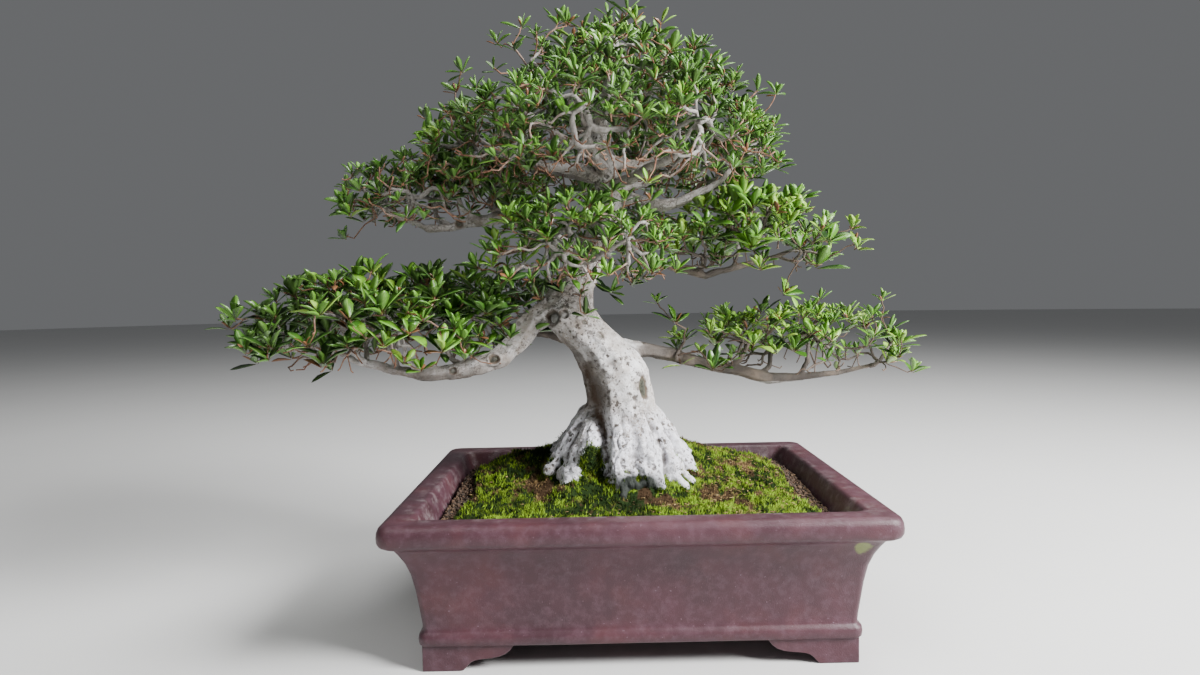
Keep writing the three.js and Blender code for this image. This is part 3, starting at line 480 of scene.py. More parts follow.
# Under the roots, where the plain carpet is open, its top is drawn level from the heights round it.
tops[under_trunk] = np.nanmean(tops)
for _ in range(120):
    around = np.stack([np.roll(tops, shift, axis) for shift in (-1, 1) for axis in (0, 1)])
    tops[under_trunk] = np.nanmean(around, 0)[under_trunk]
covered = ~np.isnan(tops)
edge = covered & ~np.logical_and.reduce([np.roll(covered, s, a) for s in (-1, 1) for a in (0, 1)])
carpet = np.column_stack([grid_x.ravel(), grid_y.ravel(), np.where(covered, tops, 0).ravel()])
flat = carpet * [1, 1, 0]
carpet[:, 2] += relief(flat, CARPET_SWELLS)
carpet[:, 2] += COLLAR[2] * swell((from_socket.ravel() - COLLAR[0]) / COLLAR[1])
for x, y, reach, rise in MOSS_MOUNDS:
    carpet[:, 2] += rise * near_place(carpet, x, y, reach)
carpet[:, 2] -= 6 * edge.ravel()
order = np.full(covered.size, -1)
kept = np.flatnonzero(covered.ravel())
order[kept] = np.arange(len(kept))
index = np.arange(covered.size).reshape(covered.shape)
cells = np.stack([index[:-1, :-1], index[1:, :-1], index[1:, 1:], index[:-1, 1:]], 2).reshape(-1, 4)
cells = cells[covered.ravel()[cells].all(1)]
carpet_points = carpet[kept]
carpet_fresh = moss_freshness(carpet_points)
carpet_tone = np.clip(moss_tone(carpet_points) - 0.4, 0, 1)

draw = np.random.default_rng(5)
inner = np.flatnonzero(~edge.ravel()[kept])
feet_at = draw.choice(inner, MOSS_SHOOTS)
feet_at = feet_at[draw.random(MOSS_SHOOTS) < 0.6 + 0.4 * carpet_fresh[feet_at]]
stray = draw.uniform(-0.5, 0.5, (len(feet_at), 3)) * [MOSS_STEP, MOSS_STEP, 0.6]
upright = np.tile([0.0, 0.0, 1.0], (len(feet_at), 1))
shoot_feet = carpet_points[feet_at] + stray
shoots, shoot_faces, values = moss_shoots(shoot_feet, upright, carpet_fresh[feet_at], draw)

# Dry bud scales and bits of leaf have fallen on the carpet, most of them on its right.
SCRAPS = 650
SCRAPS_MIDDLE, SCRAPS_SPREAD = (70, -20), (75, 62)
scrap_draw = np.random.default_rng(8)
places = scrap_draw.normal(SCRAPS_MIDDLE, SCRAPS_SPREAD, (SCRAPS * 3, 2))
heights = np.array([height_over(moss_search, px, py, 0) for px, py in places])
places, heights = places[heights > 0][:SCRAPS], heights[heights > 0][:SCRAPS]
flakes = []
for (px, py), height in zip(places, heights):
    spin, tilt = scrap_draw.uniform(0, math.pi), scrap_draw.normal(0, 0.4)
    turn = Matrix.Rotation(spin, 3, "Z") @ Matrix.Rotation(tilt, 3, "X")
    flake = stone * (scrap_draw.uniform(1.2, 3.4), scrap_draw.uniform(0.5, 1.1), 0.28)
    flakes.append((flake @ np.array(turn).T + [px, py, height + scrap_draw.uniform(2.6, 4.4)], stone_faces))
scraps, scrap_faces = gather(flakes)
scrap_tone = np.repeat(scrap_draw.uniform(0.0, 0.9, len(places)), len(stone))
moss_values = {
    "fresh": [carpet_fresh, values["fresh"], np.zeros(len(scraps))],
    "tip": [np.full(len(carpet_points), 0.1), values["tip"], np.ones(len(scraps))],
    "tone": [carpet_tone, values["tone"], scrap_tone],
}
moss_values = {name: np.concatenate(numbers) for name, numbers in moss_values.items()}
moss_parts = [(carpet_points, order[cells].tolist()), (shoots, shoot_faces), (scraps, scrap_faces)]
moss = new_piece("moss_carpet", *gather(moss_parts), moss_values)

MOSS_BROWN = (0.045, 0.026, 0.013)
MOSS_RUST = (0.135, 0.070, 0.028)
MOSS_STRAW = (0.30, 0.22, 0.10)
MOSS_DEEP = (0.010, 0.022, 0.004)
MOSS_OLIVE = (0.060, 0.090, 0.009)
MOSS_GREEN = (0.105, 0.215, 0.012)
MOSS_LIME = (0.30, 0.43, 0.03)

moss_green = Finish("living_moss", MOSS_BROWN)
fresh, tip, tone = (moss_green.value(name) for name in ("fresh", "tip", "tone"))
lush = moss_green.mix(moss_green.ramp(tone, 0.0, 0.5), MOSS_DEEP, MOSS_OLIVE)
greener = moss_green.times(moss_green.ramp(tone, 0.3, 0.8), moss_green.ramp(fresh, 0.4, 0.75))
lush = moss_green.mix(greener, lush, MOSS_GREEN)
lush = moss_green.mix(moss_green.times(tip, moss_green.ramp(tone, 0.2, 1.0)), lush, MOSS_LIME)
moss_green.over(MOSS_RUST, moss_green.ramp(tone, 0.35, 0.8))
moss_green.over(MOSS_STRAW, tip, moss_green.ramp(tone, 0.2, 0.9))
moss_green.over(lush, moss_green.ramp(fresh, 0.24, 0.42))
moss_green.join(moss_green.ramp(tone, -12, 1.6), moss_green.noise(1200), 0.0006, specular=0.12)
wear(moss, moss_green)
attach(moss, "root")
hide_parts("moss")

# ---------------- the wood
# The old trunk, its surface roots and its limbs are one piece of live wood under thin, pale grey bark. Roots
# flare from the trunk and have grown into one another, and old pruning cuts have healed into ringed scars.

VOXEL = 1.25
WOOD_FACES = 188000
TRUNK_FOOT = np.array([-10.0, 3.0])
# Each root's ridge on the flare: its turn from +X in degrees where it leaves the trunk and at its toe, the
# height where it leaves, its thickness, how far its toe reaches past the flare, and its fingers.
ROOTS = [
    (6, -8, 214, 9.5, 5, 3), (-22, -25, 226, 8.5, 9, 2), (-36, -41, 214, 9, 8, 3), (-54, -60, 226, 10, 2, 3),
    (-74, -76, 208, 9, 1, 3), (-92, -93, 216, 9, 3, 3), (-119, -121, 194, 8, -3, 1),
    (-130, -131, 204, 10, -1, 2), (-144, -144, 211, 10.5, 3, 3), (-158, -163, 215, 10, 2, 3),
    (176, 178, 200, 9, 4, 2), (152, 157, 214, 10, 4, 3), (128, 130, 208, 9.5, 5, 3), (98, 94, 216, 10, 5, 3),
    (62, 60, 212, 9.5, 5, 3), (32, 26, 216, 10, 5, 3),
]
GROUND = 142  # about where the roots go into the moss
TOE_REACH = 72
RIDGE_SUNK = 0.62  # how deep a root's middle lies under the flare's skin, as a share of its thickness
FINGER_SUNK = 0.18
FINGER_SPREAD = 4.2  # degrees that the outer fingers turn aside, for each finger there is
wood_search = search_tree(nodes["wood"].data)


def curve_through(points, steps):
    """A smooth line through the points, with so many stretches from each to the next."""
    points = np.asarray(points, float)
    line = np.vstack([2 * points[0] - points[1], points, 2 * points[-1] - points[-2]])
    t = np.arange(steps)[:, None] / steps
    parts = []
    for a, b, c, d in zip(line, line[1:], line[2:], line[3:]):
        parts.append(b + 0.5 * t * (c - a + t * (2 * a - 5 * b + 4 * c - d + t * (3 * (b - c) + d - a))))
    return np.vstack([*parts, points[-1:]])


def tube(line, radii, sides):
    """A closed tube along a line, as points and faces."""
    along = np.gradient(line, axis=0)
    along /= np.linalg.norm(along, axis=1, keepdims=True)
    side = np.cross(along[0], [0.3, 0.2, 1] if abs(along[0][2]) < 0.9 else [1, 0, 0])
    turns = np.linspace(0, 2 * math.pi, sides, endpoint=False)[:, None]
    rings = []
    for point, direction, radius in zip(line, along, radii):
        side = side - direction * side.dot(direction)
        side /= np.linalg.norm(side)
        other = np.cross(direction, side)
        rings.append(point + radius * (np.cos(turns) * side + np.sin(turns) * other))
    return np.vstack(rings), skin_rings(rings)


def ground_at(x, y):
    """Height of the moss carpet at a place, in millimetres."""
    column = int(np.clip(np.searchsorted(xs, x), 0, len(xs) - 1))
    row = int(np.clip(np.searchsorted(ys, y), 0, len(ys) - 1))
    return tops[column, row]


def reach_at(turn, height):
    """How far the plain flare's skin is from the trunk's middle line, in one direction at one height."""
    out = Vector((math.cos(turn), math.sin(turn), 0))
    middle = Vector((TRUNK_FOOT[0] * MM + POT_MIDDLE.x, TRUNK_FOOT[1] * MM, height * MM))
    hit = wood_search.ray_cast(middle + out * 0.13, -out)[0]
    return (hit - middle).dot(out) / MM if hit else 30


def root_ridge(high_turn, low_turn, top, thick, past, sinking, draw):
    """A root that keeps just under the flare's skin from its shoulder down, then ends in a blunt toe."""
    stops, radii = [], []
    toe = math.radians(low_turn)
    ground = ground_at(*(TRUNK_FOOT + TOE_REACH * np.array([math.cos(toe), math.sin(toe)])))
    for share in np.linspace(0, 1, 6):
        sway = 2.5 * math.sin(7 * share + low_turn)
        turn = math.radians(high_turn + (low_turn - high_turn) * share + sway)
        height = top + (ground + 7 - top) * share
        sink = thick * (sinking + 0.55 * (1 - share) ** 2)
        away = reach_at(turn, height) - sink
        stops.append([*(TRUNK_FOOT + away * np.array([math.cos(turn), math.sin(turn)])), height])
        radii.append(thick * (0.8 + 0.25 * share) * draw.uniform(0.9, 1.1))
    out = np.array([math.cos(turn), math.sin(turn), 0])
    for further, drop in ((0.7, 6), (1.0, 16), (1.0, 28)):
        stops.append(np.array(stops[5]) + out * past * further - [0, 0, drop])
        radii.append(thick * (1 - 0.013 * drop))
    line = curve_through(stops, 5)
    radii = np.interp(np.linspace(0, 1, len(line)), np.linspace(0, 1, len(radii)), radii)
    return tube(line, radii * (1 + 0.12 * wobble(line + 90, 11)), 12)


draw = np.random.default_rng(3)
shapes = []
for high_turn, low_turn, top, thick, past, fingers in ROOTS:
    shapes.append(root_ridge(high_turn, low_turn, top, thick, past, RIDGE_SUNK, draw))
    # Lower down the root forks into fingers, which lie higher in the skin than it does.
    spread = np.linspace(-1, 1, fingers) * FINGER_SPREAD * fingers
    for offset in spread + draw.normal(0, 1.2, fingers):
        start = draw.uniform(0.5, 0.76)
        finger_top = top + (GROUND - top) * start
        from_turn = high_turn + (low_turn - high_turn) * start
        finger = draw.uniform(0.46, 0.66) * thick
        to_turn, finger_past = low_turn + offset, past + draw.uniform(-3, 5)
        shapes.append(root_ridge(from_turn, to_turn, finger_top, finger, finger_past, FINGER_SUNK, draw))

wood_form = bmesh.new()
wood_form.from_mesh(nodes["wood"].data)
bmesh.ops.remove_doubles(wood_form, verts=wood_form.verts, dist=0.01 * MM)
plain_points = (np.array([v.co for v in wood_form.verts]) - [POT_MIDDLE.x, POT_MIDDLE.y, 0]) / MM
shapes.append((plain_points, [[v.index for v in f.verts] for f in wood_form.faces]))
wood_form.free()

wood = new_piece("wood_grown", *gather(shapes))
remesh = wood.modifiers.new("grown_together", "REMESH")
remesh.mode = "VOXEL"
remesh.voxel_size = VOXEL * MM
bake_modifiers(wood)


class Surface:
    """A mesh's points as an array that can be smoothed and pushed about, in millimetres."""

    def __init__(self, piece):
        self.mesh = piece.data
        count = len(self.mesh.vertices)
        self.points = np.empty(count * 3)
        self.mesh.vertices.foreach_get("co", self.points)
        self.points = self.points.reshape(-1, 3) / MM - [POT_MIDDLE.x / MM, POT_MIDDLE.y / MM, 0]
        ends = np.empty(len(self.mesh.edges) * 2, np.int64)
        self.mesh.edges.foreach_get("vertices", ends)
        one, other = ends.reshape(-1, 2).T
        self.from_, self.to = np.concatenate([one, other]), np.concatenate([other, one])
        self.degree = np.maximum(np.bincount(self.from_, minlength=count), 1)

    def mean_of(self, values):
        """Each point's mean over its neighbours."""
        columns = values.reshape(len(values), -1).T
        sums = [np.bincount(self.from_, column[self.to], len(values)) for column in columns]
        return (np.array(sums) / self.degree).T.reshape(values.shape)

    def smooth(self, rounds, give=0.6, take=-0.62):
        """Smooths the points and swells them again, so that thin branches keep their thickness."""
        for _ in range(rounds):
            for share in (give, take):
                self.points = self.points + share * (self.mean_of(self.points) - self.points)

    def write(self):
        """Puts the points back into the mesh."""
        placed = self.points * MM + [POT_MIDDLE.x, POT_MIDDLE.y, 0]
        self.mesh.vertices.foreach_set("co", placed.astype(np.float32).ravel())
        self.mesh.update()

    def normals(self):
        """The way that each point faces."""
        self.write()
        flat = np.empty(len(self.points) * 3, np.float32)
        self.mesh.vertices.foreach_get("normal", flat)
        return flat.reshape(-1, 3).astype(float)


skin = Surface(wood)
skin.smooth(9)
normals = skin.normals()
own_search = search_tree(wood.data)
# Half the wood's thickness behind each point, in millimetres, tells the trunk from the twigs.
JUST_UNDER = 0.3
THICKEST = 80
girth = []
for vertex, normal in zip(wood.data.vertices, normals):
    inward = -Vector(normal)
    hit = own_search.ray_cast(vertex.co + inward * (JUST_UNDER * MM), inward, THICKEST * MM)
    girth.append(hit[3] / MM / 2 if hit[0] else THICKEST / 2)
girth = np.array(girth)
for _ in range(12):
    girth = skin.mean_of(girth)


def fade(values, low, high):
    """Nothing below low, all above high, and a soft slope between."""
    share = np.clip((values - low) / (high - low), 0, 1)
    return share * share * (3 - 2 * share)


# Limbs were wired and clipped for years, so they wander and are knuckled.
slender = fade(girth, 15, 8)[:, None] * fade(skin.points[:, 2], 235, 260)[:, None]
skin.points += slender * 3.0 * np.column_stack([wobble(skin.points + shift, 24) for shift in (0, 70, 140)])
skin.points += slender * 0.9 * wobble(skin.points + 33, 9)[:, None] * normals

# The roots' skin is drawn into lobes by creases that run down it; the trunk's is fluted and pitted.
x, y, z = skin.points.T
away = np.hypot(x - TRUNK_FOOT[0], y - TRUNK_FOOT[1])
flow = np.column_stack([(x - TRUNK_FOOT[0]) / away * 6.4, (y - TRUNK_FOOT[1]) / away * 6.4, z / 36])
flow += 0.28 * np.column_stack([wobble(skin.points + shift, 15) for shift in (0, 50, 100)])
creases = np.maximum(0, 1 - np.abs(wobble(flow, 1)) / 0.15)
fine_creases = np.maximum(0, 1 - np.abs(wobble(flow * 2.3 + 30, 1)) / 0.2)
on_roots = fade(z, 226, 186) * fade(away, 30, 42)
share = np.clip(girth / 22, 0.34, 1)
bulge = 1.5 * wobble(skin.points, 27) + 1.0 * wobble(skin.points + 300, 11)
ripple = 0.5 * wobble(skin.points * [1, 1, 0.55] + 70, 4.6)
pits = np.maximum(0, wobble(skin.points + 900, 3.6) - 0.25) * fade(wobble(skin.points + 60, 26), -0.2, 0.3)
push = share * (bulge + ripple) - 1.8 * share * pits
creased = fade(wobble(skin.points + 200, 24), -0.35, 0.25) * fade(x, -84, -30)
push += on_roots * (1.2 * wobble(skin.points + 500, 8) - (2.1 * creases + 0.9 * fine_creases) * creased)
chips = wobble(skin.points + 640, 4.2)
push += on_roots * (0.5 * chips - 1.5 * np.maximum(0, chips - 0.22))

# Healed pruning cuts: the middle, the radius and the height of the rolled ring round each, how tall it is
# for its width, and how much dead wood shows in it.
SCARS = [
    (-79.7, -28, 306.8, 10.5, 2.4, 0.9, 0.5), (-65.5, -31, 311, 5.4, 1.3, 1.1, 0.4),
    (13.5, -26, 235, 7.2, 1.3, 2.1, 1.0), (-131, -60, 270, 6.2, 1.8, 1.0, 0.9),
    (-162.5, -60, 408.5, 4.8, 1.3, 1.0, 0.8), (-30.5, -33, 289, 5, 0.9, 1.2, 0.4),
    (-12, -36, 262, 4, 0.7, 1.2, 0.3), (14, 34, 250, 8, 1.8, 1.2, 0.5), (-48, 32, 296, 6, 1.6, 1.2, 0.6),
    (-176, -60, 258, 4.4, 1.0, 1.1, 0.7), (24, 12, 222, 5, 1.2, 1.3, 0.5), (-46, -30, 302, 4, 0.8, 1.0, 0.5),
]
stain_and_shade, scar = np.zeros(len(skin.points)), np.zeros(len(skin.points))
for scar_x, scar_y, scar_z, radius, ring, tall, dead in SCARS:
    middle = skin.points[np.argmin(np.linalg.norm(skin.points - [scar_x, scar_y, scar_z], axis=1))]
    apart = np.linalg.norm((skin.points - middle) * [1, 1, 1 / tall], axis=1) / radius
    apart = apart + 0.14 * wobble(skin.points + 20, 0.8 * radius)
    push += ring * swell((apart - 1) / 0.24) - 0.9 * ring * swell((apart - 0.6) / 0.2)
    scar = np.maximum(scar, dead * fade(apart, 1.0, 0.72))
    # Painted shade: a dark ring just inside the rolled rim.
    stain_and_shade = np.maximum(stain_and_shade, 0.85 * min(1, 1.6 * dead) * swell((apart - 0.76) / 0.13))

# A deep fold runs down the left of the trunk between its two root masses.
FOLD = [(-48, -16, 254), (-44, -24, 234), (-39, -28, 214), (-32, -33, 194), (-27, -44, 170), (-25, -60, 140)]
FOLD_DEPTH = [4, 11, 15, 12, 10, 8]
FOLD_WIDTH = [7, 10, 9, 4.8, 3.2, 3.5]
INTO_TRUNK = [0.3, 0.95, 0]
fold_line = curve_through(FOLD, 6)
gaps = np.linalg.norm((skin.points[:, None] - fold_line[None]) * [1, 0.3, 1], axis=2)
nearest = gaps.argmin(1) / (len(fold_line) - 1) * (len(FOLD) - 1)
depth, width = (np.interp(nearest, np.arange(len(FOLD)), numbers) for numbers in (FOLD_DEPTH, FOLD_WIDTH))
in_fold = swell(gaps.min(1) / width) * fade(skin.points[:, 1], 4, -10)
# The fold is warm brown and dark: partly the bark's own colour, partly painted shade.
stain_and_shade = np.maximum(stain_and_shade, in_fold * fade(z, 168, 196) * (0.8 + 0.5 * wobble(skin.points, 9)))
skin.points += normals * push[:, None] + (depth * in_fold)[:, None] * INTO_TRUNK
skin.smooth(1, 0.3, -0.2)

even = skin.points.copy()
for _ in range(16):
    even += 0.7 * (skin.mean_of(even) - even)
normals = skin.normals()
hollow = np.clip(((even - skin.points) * normals).sum(1) / 1.5, -1, 1)
# The two lowest right-hand limbs have darker, browner bark than the trunk. The limb behind at the left is
# darkened with painted shade.
x, y, z = skin.points.T
dark_right = fade(x, 2, 20) * fade(girth, 20, 14) * (z < 372) * (z > 230)
# Painted shade on the limb behind at the left.
painted_shade_back_limb = fade(y, 2, 14) * fade(-x, 56, 70) * fade(girth, 20, 14) * (z > 250) * (z < 330)
above_ground = np.nan_to_num(z - np.array([ground_at(px, py) for px, py in skin.points[:, :2]]), nan=99.0)
# The toes at the front, down by the moss, are painted nearly black.
black_toes = 2.2 * swell(np.hypot((x - 5) / 24, (y + 74) / 18)) * fade(z, 160, 146)
# Painted shade darkens the side of the trunk that overhangs, and what lies beyond the fold.
painted_shade_overhang = 0.85 * fade(-normals[:, 0], 0.25, 0.8) * fade(z, 206, 226) * fade(z, 300, 270)
painted_shade_overhang *= fade(girth, 10, 18)
fold_x = np.interp(z, [row[2] for row in FOLD[::-1]], [row[0] for row in FOLD[::-1]])
painted_shade_past_fold = 0.75 * fade(fold_x - x, -3, 6) * fade(z, 205, 222) * fade(z, 268, 248)
# The bark is greyer and rougher from the bend in the trunk up, and on the limbs. From the bend up its darker
# grey is partly painted shade under the foliage.
weathered_and_shaded = np.maximum(fade(z, 264, 306), 0.7 * fade(girth, 23, 15) * fade(z, 215, 240))
# Moss covers the creases near the carpet, the shaded side and the groove between the two root masses.
shaded = fade(x, -76, -92) * fade(z, 200, 178) + fade(y, 24, 52) * fade(z, 205, 180)
groove = swell((x + 42) / 9) * (y < -20) * fade(z, 188, 172)
damp = fade(hollow, 0.05, 0.5) * fade(above_ground, 30, 6) + 0.9 * shaded + 1.2 * groove
damp += fade(above_ground, 9, 3) + 0.8 * groove
damp = np.clip(damp + 0.9 * wobble(skin.points, 13) - 0.45, 0, 1) ** 1.5
damp *= (above_ground < 60) * (above_ground > -3)
# The right-hand limbs' darker bark, with painted shade on the limb behind, the overhang and past the fold.
dark = np.maximum.reduce([dark_right, painted_shade_back_limb, painted_shade_overhang, painted_shade_past_fold])
skin_values = {
    "girth": girth, "stain_and_shade": stain_and_shade, "scar": scar, "hollow": hollow, "dark": dark, "root": on_roots,
    "blackened": black_toes, "mossy": damp, "weathered_and_shaded": weathered_and_shaded,
}
hold_values(wood.data, skin_values)
wood.data.polygons.foreach_set("use_smooth", [True] * len(wood.data.polygons))
# Its flat places need fewer faces than its creases do.
thinner = wood.modifiers.new("thinner", "DECIMATE")
thinner.ratio = WOOD_FACES / (2 * len(wood.data.polygons))
bake_modifiers(wood)

BARK_PALE = (0.46, 0.435, 0.415)
BARK_LIGHT = (0.70, 0.69, 0.70)
ROOT_WHITE = (0.74, 0.74, 0.81)
SCAR_GREY = (0.070, 0.074, 0.050)
SCAR_DARK = (0.024, 0.023, 0.015)
BARK_GREY = (0.24, 0.215, 0.20)
BARK_WARM = (0.27, 0.205, 0.15)
BARK_DARK = (0.060, 0.047, 0.038)
FOLD_BROWN = (0.080, 0.042, 0.021)
ROOT_MOSS = (0.026, 0.070, 0.008)
ROOT_BLACK = (0.010, 0.014, 0.010)


def spots(finish, where, scale, size):
    """Round spots of many sizes, with so many places for one to the metre."""
    odds, from_middle = cells_at(finish, where, scale)
    edge = finish.times(odds, size)
    return finish.ramp(from_middle, edge, finish.times(edge, 0.55))


def cracks(finish, where, scale, width):
    """A net of cracks, with so many of its meshes to the metre."""
    net = finish.node("TexVoronoi", {"Vector": where, "Scale": scale}, feature="DISTANCE_TO_EDGE")
    return finish.ramp(net.outputs["Distance"], width, 0.02)


def warped(finish, scale, reach):
    """Places shifted about by noise, so that what is drawn by them is uneven."""
    swirl = finish.node("TexNoise", {"Vector": finish.where, "Scale": scale, "Detail": 3})
    shift = finish.node("VectorMath", {0: swirl.outputs["Color"], 1: (0.5, 0.5, 0.5)}, operation="SUBTRACT")
    shift = finish.node("VectorMath", {0: shift.outputs[0], "Scale": reach}, operation="SCALE")
    return finish.node("VectorMath", {0: finish.where, 1: shift.outputs[0]}, operation="ADD").outputs[0]


bark = Finish("azalea_bark", BARK_PALE)
patch = bark.noise(38, 6, 0.62)
bark.over(BARK_LIGHT, bark.ramp(patch, 0.38, 0.62))
bark.over(BARK_WARM, bark.patches(70, 0.48, 0.7, 5), 0.6)
bark.over(ROOT_WHITE, bark.value("root"), 0.85)
bark.over(BARK_GREY, bark.patches(150, 0.48, 0.66, 6, 0.75), 0.55)
# Greyer, cracked bark, partly painted shade under the foliage.
aged_and_shaded = bark.times(bark.value("weathered_and_shaded"), bark.patches(95, 0.35, 0.6, 6, 0.7))
bark.over(bark.mix(patch, BARK_GREY, BARK_WARM), aged_and_shaded, 0.7)
split = bark.times(cracks(bark, warped(bark, 120, 0.02), 130, 0.09), bark.value("weathered_and_shaded"))
bark.over(BARK_DARK, bark.times(split, bark.patches(50, 0.42, 0.56)), 0.8)
uneven = warped(bark, 260, 0.006)
clustered = bark.times(bark.patches(34, 0.40, 0.56), bark.ramp(bark.value("girth"), 4, 15))
specks = bark.times(spots(bark, uneven, 165, 0.62), clustered)
bark.over(BARK_DARK, specks, 0.95)
fine_specks = bark.times(spots(bark, uneven, 330, 0.62), bark.patches(60, 0.36, 0.56, 2))
bark.over(BARK_DARK, fine_specks, 0.85)
bark.over(BARK_WARM, bark.times(cracks(bark, uneven, 210, 0.12), bark.patches(28, 0.5, 0.62, 4)), 0.6)
bark.over(BARK_GREY, bark.ramp(bark.value("girth"), 9, 2.5), 0.45)
# Darker bark on the right-hand limbs, and painted shade on the limb behind, the overhanging side and past
# the fold.
brown = bark.mix(bark.ramp(patch, 0.45, 0.85), BARK_DARK, BARK_WARM)
bark.over(brown, bark.value("dark"), 0.9)
# Painted shade darkens the hollows in the bark.
bark.over(BARK_DARK, bark.ramp(bark.value("hollow"), 0.08, 0.6), 0.75)
dead_wood = bark.mix(bark.patches(240, 0.4, 0.62, 5, 0.7), SCAR_DARK, SCAR_GREY)
bark.over(dead_wood, bark.value("scar"))
# Warm brown in the fold, and painted shade in the fold and inside the scars' rims.
bark.over(FOLD_BROWN, bark.value("stain_and_shade"), 0.93)
# The toes at the front are painted nearly black.
bark.over(ROOT_BLACK, bark.value("blackened"), bark.ramp(patch, 0.75, 0.55))
bark.over(ROOT_MOSS, bark.ramp(bark.value("mossy"), 0.1, 0.5))
dented = bark.minus(bark.noise(520, 6, 0.7), specks)
bark.join(bark.ramp(patch, -2.2, 1.2), dented, 0.0009, 0.9)
wear(wood, bark)
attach(wood, "root")
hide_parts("wood")

# Tufts of moss climb from the carpet into the creases of the roots and up their shaded side.
ROOT_TUFTS = 15000
draw = np.random.default_rng(9)
tufted = draw.choice(len(damp), ROOT_TUFTS, p=damp / damp.sum())
foot = skin.points[tufted] + draw.normal(0, 0.4, (ROOT_TUFTS, 3))
lean = 0.6 * normals[tufted] + [0, 0, 0.5]
points, faces, values = moss_shoots(foot, lean, np.clip(0.55 + 0.5 * wobble(foot, 17), 0, 1), draw)
tufts = new_piece("root_moss", points, faces, values)
wear(tufts, moss_green)
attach(tufts, "root")

# ---------------- the sprays
# Each spray is one forked shoot: twigs that go on from a branch, grey where they are old and reddish where
# they are young, and whorls of small, glossy, pointed leaves at their tips. A pad of foliage is a dome of
# sprays that has been clipped for years.

# Each pad: the middle of its base and its half sizes, in millimetres about the pot's middle, how many twigs
# it has, its leaves' length and width as a share, how light its green is, how upright its shoots stand, and
# how flat its top is clipped.
PADS = {
    "low_left": ((-246, -38, 266), (132, 86, 76), 280, 29.0, 0.19, 0.50, 1.5, 2.7),
    "low_back": ((-150, 92, 306), (84, 50, 46), 100, 21.0, 0.17, 0.15, 0.9, 2.4),
    "low_right": ((182, 44, 244), (122, 62, 60), 140, 25.0, 0.17, 0.74, 1.9, 3.2),
    "mid_right": ((136, 12, 356), (96, 68, 66), 150, 27.0, 0.19, 0.78, 1.3, 2.6),
    "upper_left": ((-188, -20, 406), (98, 66, 58), 240, 22.0, 0.17, 0.38, 1.3, 2.7),
    "front": ((-46, -74, 343), (90, 42, 76), 185, 22.0, 0.16, 0.55, 1.0, 2.4),
    "back": ((0, 108, 388), (82, 46, 46), 90, 19.0, 0.165, 0.30, 0.9, 2.2),
    "crown": ((-26, 0, 446), (170, 138, 152), 1080, 22.5, 0.155, 0.37, 1.3, 1.72),
}
# Shoots with a place of their own, most of them past their pad's dome, by the place of their whorl.
LONG_SHOOTS = {
    "low_left": [(-372, -22, 304), (-250, -60, 356), (-192, -118, 266), (-293, -60, 262), (-336, -30, 338),
                 (-214, -50, 350), (-302, -40, 346)],
    "low_right": [(316, 40, 240), (84, -20, 252), (278, 30, 320), (210, 30, 322)],
    "mid_right": [(162, -8, 328), (238, 8, 396), (176, 0, 428)],
    "upper_left": [(-287, -22, 392), (-262, -10, 458), (-226, -20, 470)],
    "front": [(-44, -66, 311), (20, -70, 420), (-96, -74, 334), (-66, -82, 334), (-20, -80, 332),
              (2, -70, 340), (-80, -78, 345), (-56, -84, 347), (-36, -84, 343), (-48, -78, 331),
              (-8, -78, 346), (-88, -70, 327)],
    "crown": [(-58, -8, 606), (-130, -10, 588), (38, -6, 606), (-208, 4, 516), (150, 0, 488), (118, 10, 560),
              (-168, 0, 562), (-92, 0, 596), (-4, 4, 606), (80, 0, 588), (152, -20, 530), (-186, -40, 480)],
}
# Shoots that stand on the bare wood by themselves: the pad whose growth they are, their foot and their tip.
LONE_SHOOTS = [("low_right", (34, 22, 268), (31, 20, 322)), ("low_right", (52, 20, 262), (50, 8, 300))]
# Reach of each shell of twigs, its share of them, and how many of them carry leaves. The rest are bare.
SHELLS = ((1.0, 0.55, 0.97), (0.8, 0.27, 0.85), (0.56, 0.18, 0.4))
SPARE_TIPS = 1.35  # places drawn for each tip; those outside the clumps are dropped
CLUMP_SIZE = 27
BARE_UNDERNEATH = 0.3  # bare twigs that spread under each pad, as a share of its twigs
GOLDEN_TURN = math.pi * (3 - math.sqrt(5))
TWIG_RADIUS = 0.6
TWIG_GROWTH = 0.46  # the power by which a twig thickens with the number of tips that it feeds
FORK_RADIUS = 3.0
TWIG_SIDES = 6
DARK_PADS = ("low_right", "mid_right")  # their limbs' bark is dark
LEAVES = (5, 9)  # a whorl has from five to eight
WITHERED = 0.12  # share of brown leaves
LARGE_WHORLS = 0.09  # share of whorls whose leaves are large


def unit(vectors):
    """The same ways as vectors of length one."""
    return vectors / np.maximum(np.linalg.norm(vectors, axis=-1, keepdims=True), 1e-9)


